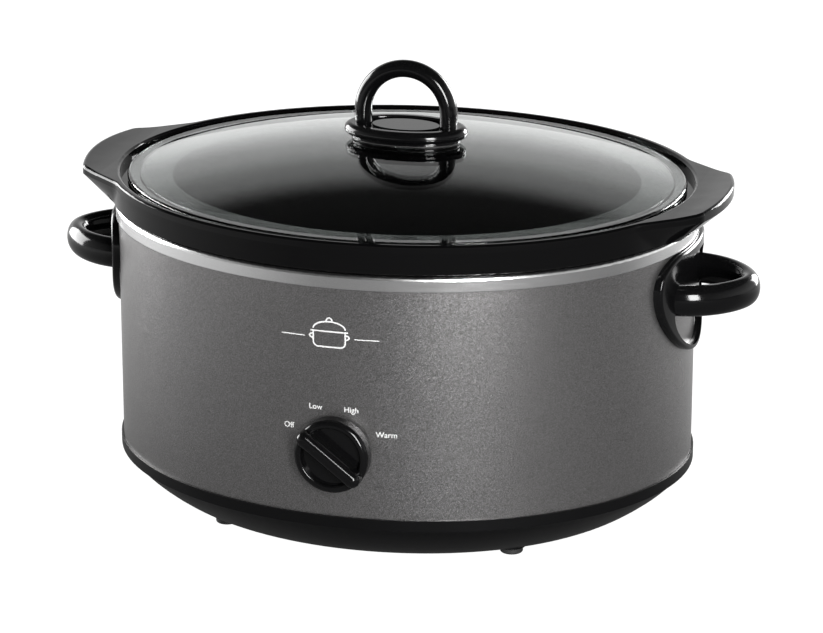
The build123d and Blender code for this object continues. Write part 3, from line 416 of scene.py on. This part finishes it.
@dataclass(frozen=True)
class MouldedPlastic(Finish):
    """Black moulded plastic, with a fine grain, a painted highlight along sharp edges and a little dust."""

    colour: Colour = (0.0035, 0.0035, 0.0038)
    # colour of the painted highlight laid along sharp edges
    painted_edge_highlight: Colour = (0.014, 0.014, 0.0145)
    roughness: Point = (0.12, 0.18)
    grain_scale: float = 900.0
    grain_height: float = 0.00001
    specular: float = 0.35
    dust: float = 0.02

    def material(self) -> bpy.types.Material:
        """Builds the material.

        Returns:
            The plastic.
        """
        made, bench, shader = self.start()
        place = bench.place()
        haze = EFFECTS.use(
            bench, Effect.GRAIN, Vector=place, Scale=35.0, Detail=3.0,
            Low=self.roughness[0], High=self.roughness[1],
        )
        grain = EFFECTS.use(bench, Effect.GRAIN, Vector=place, Scale=self.grain_scale, Detail=2.0)
        edge = EFFECTS.use(bench, Effect.EDGE, Vector=place, Radius=0.0006, Gain=1.6)
        dust = EFFECTS.use(bench, Effect.DUST, Vector=place, Amount=self.dust)
        # sharp edges turn lighter: a painted highlight, then a little dust on top
        painted_edge_highlight = bench.blend(edge.outputs["Mask"], self.colour, self.painted_edge_highlight)
        bench.join(bench.blend(dust.outputs["Mask"], painted_edge_highlight, DUST_COLOUR), shader["Base Color"])
        bench.join(haze.outputs["Value"], shader["Roughness"])
        bench.join(bench.bump(grain.outputs["Value"], 0.4, self.grain_height), shader["Normal"])
        shader["IOR"].default_value = 1.5
        shader["Specular IOR Level"].default_value = self.specular
        return made


@dataclass(frozen=True)
class StonewareGlaze(Finish):
    """Black glossy glaze, bare clay on the foot that stands in the kiln."""

    colour: Colour = (0.0028, 0.0028, 0.003)
    thin: Colour = (0.016, 0.014, 0.013)
    clay: Colour = (0.42, 0.34, 0.25)
    gritty: Colour = (0.5, 0.42, 0.33)
    clay_roughness: float = 0.85
    bare_below: float = 0.055
    specular: float = 0.22
    roughness: Point = (0.045, 0.085)

    def material(self) -> bpy.types.Material:
        """Builds the material.

        Returns:
            The glaze over clay.
        """
        made, bench, shader = self.start()
        place = bench.place()
        edge = EFFECTS.use(bench, Effect.EDGE, Vector=place, Radius=0.0012, Gain=1.2)
        ripple = EFFECTS.use(bench, Effect.GRAIN, Vector=place, Scale=55.0, Detail=1.0)
        speck = EFFECTS.use(bench, Effect.GRAIN, Vector=place, Scale=700.0, Detail=4.0)
        gloss = EFFECTS.use(
            bench, Effect.GRAIN, Vector=place, Scale=20.0, Detail=2.0,
            Low=self.roughness[0], High=self.roughness[1],
        )
        parts = bench.node("ShaderNodeSeparateXYZ")
        bench.join(place, parts.inputs[0])
        ragged = bench.span(ripple.outputs["Value"], (0.0, 1.0), (-0.0005, 0.0005))
        height = bench.math("ADD", parts.outputs["Z"], ragged)
        bare = bench.span(height, (self.bare_below - 0.0002, self.bare_below + 0.0002), (1.0, 0.0))
        glazed = bench.blend(edge.outputs["Mask"], self.colour, self.thin)
        sandy = bench.blend(speck.outputs["Value"], self.clay, self.gritty)
        bench.join(bench.blend(bare, glazed, sandy), shader["Base Color"])
        rough = bench.node("ShaderNodeMix", data_type="FLOAT")
        bench.join(bare, rough.inputs[0])
        bench.join(gloss.outputs["Value"], rough.inputs[2])
        rough.inputs[3].default_value = self.clay_roughness
        bench.join(rough.outputs[0], shader["Roughness"])
        bench.join(bench.bump(ripple.outputs["Value"], 0.25, 0.0002), shader["Normal"])
        shader["IOR"].default_value = 1.52
        shader["Specular IOR Level"].default_value = self.specular
        return made


@dataclass(frozen=True)
class ClearGlass(Finish):
    """Tempered glass with the faintest waviness."""

    tint: Colour = (0.93, 0.97, 0.955)
    roughness: float = 0.015

    def material(self) -> bpy.types.Material:
        """Builds the material.

        Returns:
            The glass.
        """
        made, bench, shader = self.start()
        wave = EFFECTS.use(bench, Effect.GRAIN, Vector=bench.place(), Scale=9.0, Detail=0.0)
        bench.join(bench.bump(wave.outputs["Value"], 0.2, 0.0004), shader["Normal"])
        shader["Base Color"].default_value = (*self.tint, 1.0)
        shader["Roughness"].default_value = self.roughness
        shader["Transmission Weight"].default_value = 1.0
        shader["IOR"].default_value = 1.5
        return made


@dataclass(frozen=True)
class SheetMetal(Finish):
    """Bright drawn or brushed sheet."""

    colour: Colour = (0.70, 0.70, 0.71)
    stained: Colour = (0.56, 0.555, 0.56)
    roughness: Point = (0.22, 0.34)
    stretch: tuple[float, float, float] = (1.0, 1.0, 18.0)
    line_scale: float = 60.0
    line_height: float = 0.00001

    def material(self) -> bpy.types.Material:
        """Builds the material.

        Returns:
            The sheet metal.
        """
        made, bench, shader = self.start()
        place = bench.place()
        lines = EFFECTS.use(
            bench, Effect.BRUSHED, Vector=place, Stretch=self.stretch, Scale=self.line_scale,
            Low=self.roughness[0], High=self.roughness[1],
        )
        relief = EFFECTS.use(
            bench, Effect.BRUSHED, Vector=place, Stretch=self.stretch, Scale=self.line_scale * 3.0,
        )
        stain = EFFECTS.use(bench, Effect.GRAIN, Vector=place, Scale=12.0, Detail=5.0, High=0.6)
        bench.join(bench.blend(stain.outputs["Value"], self.colour, self.stained), shader["Base Color"])
        bench.join(lines.outputs["Value"], shader["Roughness"])
        bench.join(bench.bump(relief.outputs["Value"], 0.3, self.line_height), shader["Normal"])
        shader["Metallic"].default_value = 1.0
        return made


@dataclass(frozen=True)
class PlatedMetal(Finish):
    """Small plated pieces, with the cloudy crystals of zinc or the plain face of brass."""

    colour: Colour = (0.60, 0.61, 0.62)
    cloud: Colour = (0.48, 0.49, 0.51)
    roughness: Point = (0.24, 0.40)
    crystal_scale: float = 420.0

    def material(self) -> bpy.types.Material:
        """Builds the material.

        Returns:
            The plated metal.
        """
        made, bench, shader = self.start()
        place = bench.place()
        crystal = EFFECTS.use(bench, Effect.FLAKE, Vector=place, Scale=self.crystal_scale, Tilt=0.05)
        cloud = EFFECTS.use(
            bench, Effect.GRAIN, Vector=place, Scale=160.0, Detail=4.0,
            Low=self.roughness[0], High=self.roughness[1],
        )
        edge = EFFECTS.use(bench, Effect.EDGE, Vector=place, Radius=0.0003, Gain=1.5)
        face = bench.blend(crystal.outputs["Value"], self.cloud, self.colour)
        bench.join(bench.blend(edge.outputs["Mask"], face, (0.75, 0.75, 0.76)), shader["Base Color"])
        bench.join(cloud.outputs["Value"], shader["Roughness"])
        bench.join(crystal.outputs["Normal"], shader["Normal"])
        shader["Metallic"].default_value = 1.0
        return made


@dataclass(frozen=True)
class SoftPolymer(Finish):
    """Rubber, silicone or a plain heat-resistant moulding."""

    colour: Colour = (0.02, 0.02, 0.02)
    pale: Colour = (0.045, 0.045, 0.045)
    roughness: Point = (0.55, 0.75)
    grain_scale: float = 600.0
    grain_height: float = 0.00003

    def material(self) -> bpy.types.Material:
        """Builds the material.

        Returns:
            The polymer.
        """
        made, bench, shader = self.start()
        place = bench.place()
        bloom = EFFECTS.use(bench, Effect.GRAIN, Vector=place, Scale=90.0, Detail=5.0)
        rough = EFFECTS.use(
            bench, Effect.GRAIN, Vector=place, Scale=240.0, Detail=3.0,
            Low=self.roughness[0], High=self.roughness[1],
        )
        grain = EFFECTS.use(bench, Effect.GRAIN, Vector=place, Scale=self.grain_scale, Detail=3.0)
        dust = EFFECTS.use(bench, Effect.DUST, Vector=place, Amount=0.06)
        face = bench.blend(bloom.outputs["Value"], self.colour, self.pale)
        bench.join(bench.blend(dust.outputs["Mask"], face, DUST_COLOUR), shader["Base Color"])
        bench.join(rough.outputs["Value"], shader["Roughness"])
        bench.join(bench.bump(grain.outputs["Value"], 0.5, self.grain_height), shader["Normal"])
        return made


@dataclass(frozen=True)
class GlassFelt(Finish):
    """Matted glass fibre."""

    colour: Colour = (0.72, 0.70, 0.64)
    shadow: Colour = (0.50, 0.48, 0.43)

    def material(self) -> bpy.types.Material:
        """Builds the material.

        Returns:
            The felt.
        """
        made, bench, shader = self.start()
        place = bench.place()
        fibre = EFFECTS.use(bench, Effect.BRUSHED, Vector=place, Stretch=(6.0, 5.0, 1.0), Scale=260.0)
        tuft = EFFECTS.use(bench, Effect.GRAIN, Vector=place, Scale=320.0, Detail=8.0)
        mixed = bench.math("MULTIPLY", fibre.outputs["Value"], tuft.outputs["Value"])
        bench.join(bench.blend(mixed, self.shadow, self.colour), shader["Base Color"])
        bench.join(bench.bump(mixed, 0.9, 0.0004), shader["Normal"])
        shader["Roughness"].default_value = 0.95
        shader["Sheen Weight"].default_value = 0.3
        return made


@dataclass(frozen=True)
class PadInk(Finish):
    """Printed ink with slightly uneven cover."""

    colour: Colour = (0.95, 0.95, 0.94)
    thin: Colour = (0.84, 0.84, 0.83)

    def material(self) -> bpy.types.Material:
        """Builds the material.

        Returns:
            The ink.
        """
        made, bench, shader = self.start()
        place = bench.place()
        cover = EFFECTS.use(bench, Effect.GRAIN, Vector=place, Scale=1500.0, Detail=3.0, High=0.5)
        rough = EFFECTS.use(bench, Effect.GRAIN, Vector=place, Scale=500.0, Detail=2.0, Low=0.4, High=0.55)
        bench.join(bench.blend(cover.outputs["Value"], self.colour, self.thin), shader["Base Color"])
        bench.join(rough.outputs["Value"], shader["Roughness"])
        return made


FINISHES: dict[str, Finish] = {
    "shell_paint": FlakePaint("charcoal_flake_paint"),
    "well_metal": SheetMetal(
        "satin_aluminium", colour=(0.93, 0.93, 0.93), stained=(0.86, 0.86, 0.865),
        roughness=(0.2, 0.26), line_height=0.000002,
    ),
    "base_plastic": MouldedPlastic("black_base_moulding", roughness=(0.3, 0.36), specular=0.2, dust=0.03),
    "crock_glaze": StonewareGlaze("black_stoneware_glaze"),
    "lid_glass": ClearGlass("tempered_glass"),
    "handle_plastic": MouldedPlastic("gloss_black_phenolic", roughness=(0.09, 0.14)),
    "knob_plastic": MouldedPlastic("gloss_black_knob", roughness=(0.10, 0.16)),
    "seal_rubber": SoftPolymer("black_silicone", roughness=(0.4, 0.55)),
    "foot_rubber": SoftPolymer("black_rubber"),
    "band_metal": SheetMetal("plated_band", colour=(0.5, 0.5, 0.5), stained=(0.36, 0.34, 0.33)),
    "fastener_steel": PlatedMetal("zinc_plate"),
    "terminal_plastic": SoftPolymer(
        "cream_moulding", colour=(0.60, 0.56, 0.46), pale=(0.68, 0.64, 0.55), roughness=(0.4, 0.55),
    ),
    "gland_plastic": SoftPolymer("black_nylon", colour=(0.012, 0.012, 0.012), roughness=(0.35, 0.5)),
    "brass_parts": PlatedMetal("plain_brass", colour=(0.78, 0.60, 0.29), cloud=(0.66, 0.49, 0.22)),
    "insulation_felt": GlassFelt("glass_fibre_felt"),
    "wire_sleeve": SoftPolymer(
        "white_silicone", colour=(0.62, 0.60, 0.56), pale=(0.7, 0.69, 0.65), roughness=(0.45, 0.6),
    ),
}
PRINT_INK = PadInk("white_pad_ink")


class FinishShelf:
    """Makes each material the first time that it is asked for."""

    def __init__(self) -> None:
        """Starts with no material made."""
        self.made: dict[str, bpy.types.Material] = {}

    def take(self, finish: Finish) -> bpy.types.Material:
        """The finish's material, made once."""
        if finish.name not in self.made:
            self.made[finish.name] = finish.material()
        return self.made[finish.name]


# ---------------------------------------------------------------------------------------------
# Sub-assemblies
# ---------------------------------------------------------------------------------------------


@dataclass
class SubAssembly:
    """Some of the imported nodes, dressed in the finish of their slot."""

    nodes: dict[str, bpy.types.Object]
    slots: dict[str, str]
    shelf: FinishShelf
    names: tuple[str, ...] = ()

    def dress(self) -> None:
        """Gives each node the finish of its material slot."""
        for name in self.names:
            slot = self.slots[name]
            piece = self.nodes[name]
            material = self.shelf.take(FINISHES[slot])
            if not piece.material_slots:
                piece.data.materials.append(material)
            for held in piece.material_slots:
                held.material = material
            LOG.info("%s: %s", name, material.name)

    def build(self) -> None:
        """Builds the meshes that the frame doesn't hold; most sub-assemblies have none."""


@dataclass(frozen=True)
class OvalWall:
    """The painted wall's outside, as an ellipse in plan."""

    half_long: float
    half_short: float
    proud: float = 0.00006

    def on_front(self, across: float, height: float, extra: float = 0.0) -> Vector:
        """A point just off the front of the wall.

        Args:
            across: place along X.
            height: place along Z.
            extra: distance outward past the print's usual one.

        Returns:
            The point.
        """
        share = across / self.half_long
        depth = -self.half_short * math.sqrt(1.0 - share * share)
        outward = Vector((across / self.half_long**2, depth / self.half_short**2, 0.0)).normalized()
        return Vector((across, depth, height)) + outward * (self.proud + extra)


@dataclass
class Stroke:
    """A line of even width, given by the points along its middle."""

    points: list[Point]
    width: float

    def sides(self) -> list[tuple[Point, Point]]:
        """The two edge points beside each middle point.

        Returns:
            A pair for each point.
        """
        pairs = []
        last = len(self.points) - 1
        for index, (across, up) in enumerate(self.points):
            before = self.points[max(index - 1, 0)]
            after = self.points[min(index + 1, last)]
            run = Vector((after[0] - before[0], after[1] - before[1])).normalized()
            half = self.width / 2.0
            side = Vector((-run.y, run.x)) * half
            pairs.append(((across - side.x, up - side.y), (across + side.x, up + side.y)))
        return pairs


def arc_points(centre: Point, radii: Point, start: float, stop: float, steps: int = 24) -> list[Point]:
    """Points on part of an ellipse.

    Args:
        centre: the ellipse's middle.
        radii: its half width and half height.
        start: first angle in degrees.
        stop: last angle in degrees.
        steps: number of spans.

    Returns:
        The points.
    """
    made = []
    for index in range(steps + 1):
        angle = math.radians(start + (stop - start) * index / steps)
        made.append((centre[0] + radii[0] * math.cos(angle), centre[1] + radii[1] * math.sin(angle)))
    return made


def straight_points(first: Point, last: Point, steps: int = 12) -> list[Point]:
    """Evenly spaced points from one place to another.

    Args:
        first: where the line starts.
        last: where it ends.
        steps: number of spans.

    Returns:
        The points.
    """
    return [
        (
            first[0] + (last[0] - first[0]) * index / steps,
            first[1] + (last[1] - first[1]) * index / steps,
        )
        for index in range(steps + 1)
    ]


@dataclass
class Housing(SubAssembly):
    """Painted shell, base pan, feet and side handles, with the prints on the shell."""

    names: tuple[str, ...] = (
        "outer_shell", "base_pan", "handle_left", "handle_right", "handle_backing_left",
        "handle_backing_right", "handle_screws_left", "handle_screws_right",
        "foot_front_left", "foot_front_right", "foot_rear_left", "foot_rear_right",
    )
    words: dict[str, Point] = field(
        default_factory=lambda: {
            "Off": (-0.0277, 0.0904),
            "Low": (-0.0113, 0.1035),
            "High": (0.0098, 0.1031),
            "Warm": (0.0299, 0.0893),
        }
    )
    capital_height: float = 0.0034
    type_boldness: float = 0.014
    emblem_centre: Point = (-0.003, 0.1485)
    emblem_half_width: float = 0.029
    pot_half: Point = (0.0095, 0.0046)
    line_width: float = 0.0009
    rule_width: float = 0.0006
    pot_corner: float = 0.003
    lid_rise: float = 0.0045
    lid_gap: float = 0.0014
    layer_lift: float = 0.000004

    def wall(self) -> OvalWall:
        """The wall's outside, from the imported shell's box."""
        low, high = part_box("outer_shell")
        return OvalWall((high.x - low.x) / 2.0, (high.y - low.y) / 2.0)

    def build(self) -> None:
        """Prints the dial words and the emblem."""
        wall = self.wall()
        for word, place in self.words.items():
            self.print_word(word, place, wall)
        self.print_strokes("shell_emblem", self.emblem(), wall)

    def print_word(self, word: str, place: Point, wall: OvalWall) -> None:
        """Lays one word on the wall.

        Args:
            word: what it says.
            place: its middle, along X and Z.
            wall: the surface that it lies on.
        """
        curve = bpy.data.curves.new(f"type_{word}", type="FONT")
        curve.body = word
        curve.size = 1.0
        curve.align_x = "LEFT"
        curve.offset = self.type_boldness
        setter = bpy.data.objects.new(f"type_{word}", curve)
        bpy.context.scene.collection.objects.link(setter)
        bpy.context.view_layer.update()
        depsgraph = bpy.context.evaluated_depsgraph_get()
        mesh = bpy.data.meshes.new_from_object(setter.evaluated_get(depsgraph))
        bpy.data.objects.remove(setter)
        bpy.data.curves.remove(curve)
        xs = [vertex.co.x for vertex in mesh.vertices]
        scale = self.capital_height / TYPE_CAPITAL
        middle = (min(xs) + max(xs)) / 2.0
        for vertex in mesh.vertices:
            across = place[0] + (vertex.co.x - middle) * scale
            height = place[1] + (vertex.co.y - TYPE_CAPITAL / 2.0) * scale
            vertex.co = wall.on_front(across, height)
        self.place_print(f"dial_word_{word.lower()}", mesh)

    def emblem(self) -> list[Stroke]:
        """A covered pot between two thin rules.

        Returns:
            Its strokes.
        """
        middle, level = self.emblem_centre
        wide, deep = self.pot_half
        brim = level + 0.0005
        corner = self.pot_corner
        floor = brim - 2.0 * deep
        hinge = brim + self.lid_gap
        bowl = [(middle - wide, brim), (middle - wide, floor + corner)]
        bowl += arc_points((middle - wide + corner, floor + corner), (corner, corner), 180.0, 270.0, 8)
        bowl += straight_points((middle - wide + corner, floor), (middle + wide - corner, floor))[1:-1]
        bowl += arc_points((middle + wide - corner, floor + corner), (corner, corner), 270.0, 360.0, 8)
        bowl += [(middle + wide, brim)]
        edge = straight_points((middle - wide - 0.0016, brim), (middle + wide + 0.0016, brim))
        lid = arc_points((middle, hinge), (wide, self.lid_rise), 180.0, 0.0)
        loop = arc_points((middle, hinge + self.lid_rise), (0.0018, 0.0022), 180.0, 0.0, 12)
        strokes = [Stroke(points, self.line_width) for points in (bowl, edge, lid, loop)]
        rule_level = brim - 0.0036
        for side in (-1.0, 1.0):
            ear = arc_points((middle + side * wide, brim - 0.003), (side * 0.0022, 0.0013), 90.0, -90.0, 10)
            strokes.append(Stroke(ear, self.line_width))
            inner = middle + side * (wide + 0.0052)
            outer = middle + side * self.emblem_half_width
            rule = straight_points((inner, rule_level), (outer, rule_level))
            strokes.append(Stroke(rule, self.rule_width))
        return strokes

    def print_strokes(self, name: str, strokes: list[Stroke], wall: OvalWall) -> None:
        """Lays strokes on the wall as one printed piece.

        Args:
            name: the piece's name.
            strokes: its lines.
            wall: the surface that they lie on.
        """
        work = bmesh.new()
        for layer, stroke in enumerate(strokes):
            lift = layer * self.layer_lift
            rows = [
                [work.verts.new(wall.on_front(across, up, lift)) for across, up in pair]
                for pair in stroke.sides()
            ]
            for (low_a, high_a), (low_b, high_b) in zip(rows, rows[1:]):
                work.faces.new((low_a, low_b, high_b, high_a))
        mesh = bpy.data.meshes.new(name)
        work.to_mesh(mesh)
        work.free()
        self.place_print(name, mesh)

    def place_print(self, name: str, mesh: bpy.types.Mesh) -> None:
        """Makes a print of a mesh and lets it ride on the base.

        Args:
            name: the piece's name.
            mesh: its mesh, already on the wall.
        """
        mesh.name = name
        mesh.materials.clear()
        mesh.materials.append(self.shelf.take(PRINT_INK))
        piece = bpy.data.objects.new(name, mesh)
        bpy.context.scene.collection.objects.link(piece)
        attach(piece, "base")
        LOG.info("%s: printed", name)


@dataclass
class HeatingParts(SubAssembly):
    """The metal well, its heater band, felt, shield, cut-out and draw bolt."""

    names: tuple[str, ...] = (
        "heating_well", "heater_band", "heater_clamp", "heater_clamp_screw", "insulation_left",
        "insulation_right", "heat_shield", "spacer_lower", "spacer_upper", "draw_stud", "draw_washer",
        "draw_nut", "thermal_fuse", "fuse_clip",
    )


@dataclass
class Crock(SubAssembly):
    """The lift-out stoneware."""

    names: tuple[str, ...] = ("crock",)


@dataclass
class Lid(SubAssembly):
    """Domed glass with its handle and the fastening through it."""

    names: tuple[str, ...] = ("lid_glass", "lid_handle", "lid_seal", "lid_washer", "lid_screw")


@dataclass
class DialKnob(SubAssembly):
    """The knob and what turns with it."""

    names: tuple[str, ...] = ("knob", "knob_clip", "switch_shaft", "switch_rotor")


@dataclass
class Switchgear(SubAssembly):
    """The rotary switch's fixed parts."""

    names: tuple[str, ...] = ("switch_housing", "switch_cover", "switch_terminals", "switch_nut")


@dataclass
class PowerInlet(SubAssembly):
    """Gland, terminal block and leads."""

    names: tuple[str, ...] = (
        "cord_gland", "gland_nut", "terminal_block", "terminal_screws", "wire_line_in", "wire_line_out",
        "wire_low", "wire_high", "wire_neutral",
    )


# ---------------------------------------------------------------------------------------------
# Studio
# ---------------------------------------------------------------------------------------------


def direction(azimuth: float, elevation: float) -> Vector:
    """A unit vector towards a place in the studio.

    Args:
        azimuth: degrees from the front, -Y, towards +X.
        elevation: degrees above the floor.

    Returns:
        The vector.
    """
    turn, rise = math.radians(azimuth), math.radians(elevation)
    return Vector((math.sin(turn) * math.cos(rise), -math.cos(turn) * math.cos(rise), math.sin(rise)))


@dataclass
class Viewpoint:
    """The camera."""

    aim: tuple[float, float, float] = (0.0, 0.0, 0.111)
    azimuth: float = 15.8
    elevation: float = 18.25
    distance: float = 2.2
    lens: float = 158.8
    sensor: float = 36.0
    shift_x: float = 0.0067

    def build(self) -> None:
        """Makes the camera and gives it to the scene."""
        data = bpy.data.cameras.new("view")
        data.lens = self.lens
        data.sensor_width = self.sensor
        data.shift_x = self.shift_x
        data.clip_end = 50.0
        camera = bpy.data.objects.new("view", data)
        bpy.context.scene.collection.objects.link(camera)
        back = direction(self.azimuth, self.elevation)
        camera.location = Vector(self.aim) + back * self.distance
        camera.rotation_mode = "QUATERNION"
        camera.rotation_quaternion = (-back).to_track_quat("-Z", "Y")
        bpy.context.scene.camera = camera


@dataclass(frozen=True)
class SoftBox:
    """A large soft lamp."""

    name: str
    azimuth: float
    elevation: float
    distance: float
    width: float
    height: float
    power: float

    def build(self, aim: Vector) -> None:
        """Hangs the lamp and turns it to the object.

        Args:
            aim: the point that it faces.
        """
        data = bpy.data.lights.new(self.name, type="AREA")
        data.shape = "RECTANGLE"
        data.size = self.width
        data.size_y = self.height
        data.energy = self.power
        lamp = bpy.data.objects.new(self.name, data)
        bpy.context.scene.collection.objects.link(lamp)
        out = direction(self.azimuth, self.elevation)
        lamp.location = aim + out * self.distance
        lamp.rotation_mode = "QUATERNION"
        lamp.rotation_quaternion = (-out).to_track_quat("-Z", "Y")


@dataclass
class Studio:
    """Floor, surroundings and lamps."""

    aim: Vector = field(default_factory=lambda: Vector((0.0, 0.0, 0.12)))
    floor_half: float = 12.0
    floor_colour: Colour = (0.12, 0.12, 0.12)
    floor_glow: Point = (0.07, 0.6)  # level in reflections in front, and to the left and behind
    backdrop_white: float = 1.02
    boxes: tuple[SoftBox, ...] = (
        SoftBox("left_softbox", -105.0, 12.0, 1.7, 1.3, 1.0, 46.0),
        SoftBox("front_softbox", 31.0, 16.0, 2.0, 0.45, 1.0, 46.0),
        SoftBox("rear_softbox", 150.0, 12.0, 1.9, 1.0, 0.9, 40.0),
    )

    def build(self) -> None:
        """Sets up the studio."""
        bpy.context.scene.view_settings.view_transform = "Standard"
        self.lay_floor()
        self.surround()
        for box in self.boxes:
            box.build(self.aim)

    def glow(self, bench: Bench, level: object) -> bpy.types.NodeSocket:
        """White where the camera looks at it, and a softer level in reflections.

        Args:
            bench: the bench of the tree.
            level: the level in reflections, plain or a socket.

        Returns:
            The strength socket.
        """
        seen = bench.node("ShaderNodeLightPath").outputs["Is Camera Ray"]
        mixed = bench.node("ShaderNodeMix", data_type="FLOAT")
        bench.join(seen, mixed.inputs[0])
        bench.feed(level, mixed.inputs[2])
        mixed.inputs[3].default_value = self.backdrop_white
        return mixed.outputs[0]

    def lay_floor(self) -> None:
        """Lays the pale floor under the feet."""
        half = self.floor_half
        mesh = bpy.data.meshes.new("floor")
        corners = [(-half, -half, 0.0), (half, -half, 0.0), (half, half, 0.0), (-half, half, 0.0)]
        mesh.from_pydata(corners, [], [(0, 1, 2, 3)])
        floor = bpy.data.objects.new("floor", mesh)
        bpy.context.scene.collection.objects.link(floor)
        material = bpy.data.materials.new("pale_floor")
        material.use_nodes = True
        bench = Bench(material.node_tree)
        shader = material.node_tree.nodes["Principled BSDF"].inputs
        shader["Base Color"].default_value = (*self.floor_colour, 1.0)
        shader["Roughness"].default_value = 0.9
        shader["Specular IOR Level"].default_value = 0.0
        shader["Emission Color"].default_value = (*WHITE, 1.0)
        parts = bench.node("ShaderNodeSeparateXYZ")
        bench.join(bench.place(), parts.inputs[0])
        leftward = bench.span(parts.outputs["X"], (-0.9, -0.25), (1.0, 0.0))
        backward = bench.span(parts.outputs["Y"], (0.0, 0.6), (0.0, 1.0))
        level = bench.span(bench.math("MAXIMUM", leftward, backward), (0.0, 1.0), self.floor_glow)
        bench.join(self.glow(bench, level), shader["Emission Strength"])
        mesh.materials.append(material)

    def surround(self) -> None:
        """Lights the room: white low down behind, dark overhead and towards the front."""
        world = bpy.data.worlds.new("studio")
        bpy.context.scene.world = world
        world.use_nodes = True
        bench = Bench(world.node_tree)
        parts = bench.node("ShaderNodeSeparateXYZ")
        bench.join(bench.node("ShaderNodeTexCoord").outputs["Generated"], parts.inputs[0])
        ramp = bench.node("ShaderNodeValToRGB")
        ramp.color_ramp.interpolation = "EASE"
        stops = ((0.0, 1.0), (0.12, 1.0), (0.32, 0.72), (0.48, 0.46), (0.61, 0.03), (1.0, 0.01))
        for index, (place, level) in enumerate(stops):
            stop = ramp.color_ramp.elements[index] if index < 2 else ramp.color_ramp.elements.new(place)
            stop.position = place
            stop.color = (level, level, level, 1.0)
        bench.join(parts.outputs["Z"], ramp.inputs[0])
        behind = bench.span(parts.outputs["Y"], (-0.9, 0.5), (0.06, 1.0))
        level = bench.math("MULTIPLY", ramp.outputs["Color"], behind)
        background = world.node_tree.nodes["Background"].inputs
        background["Color"].default_value = (*WHITE, 1.0)
        bench.join(self.glow(bench, level), background["Strength"])


# ---------------------------------------------------------------------------------------------
# Whole object
# ---------------------------------------------------------------------------------------------


def main() -> None:
    """Loads the frame, dresses and prints the object, and sets up the studio."""
    logging.basicConfig(level=logging.INFO, format="%(name)s: %(message)s")
    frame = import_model()
    slots = {row["node"]: row["material_slot"] for row in frame["record"]["subparts"]}
    shelf = FinishShelf()
    Viewpoint().build()
    Studio().build()
    kinds = (Housing, HeatingParts, Crock, Lid, DialKnob, Switchgear, PowerInlet)
    dressed: set[str] = set()
    for kind in kinds:
        assembly = kind(frame["nodes"], slots, shelf)
        assembly.build()
        assembly.dress()
        dressed.update(assembly.names)
    missed = sorted(set(frame["nodes"]) - dressed)
    LOG.info("nodes dressed: %d, missed: %s", len(dressed), missed)


if __name__ == "__main__":
    main()
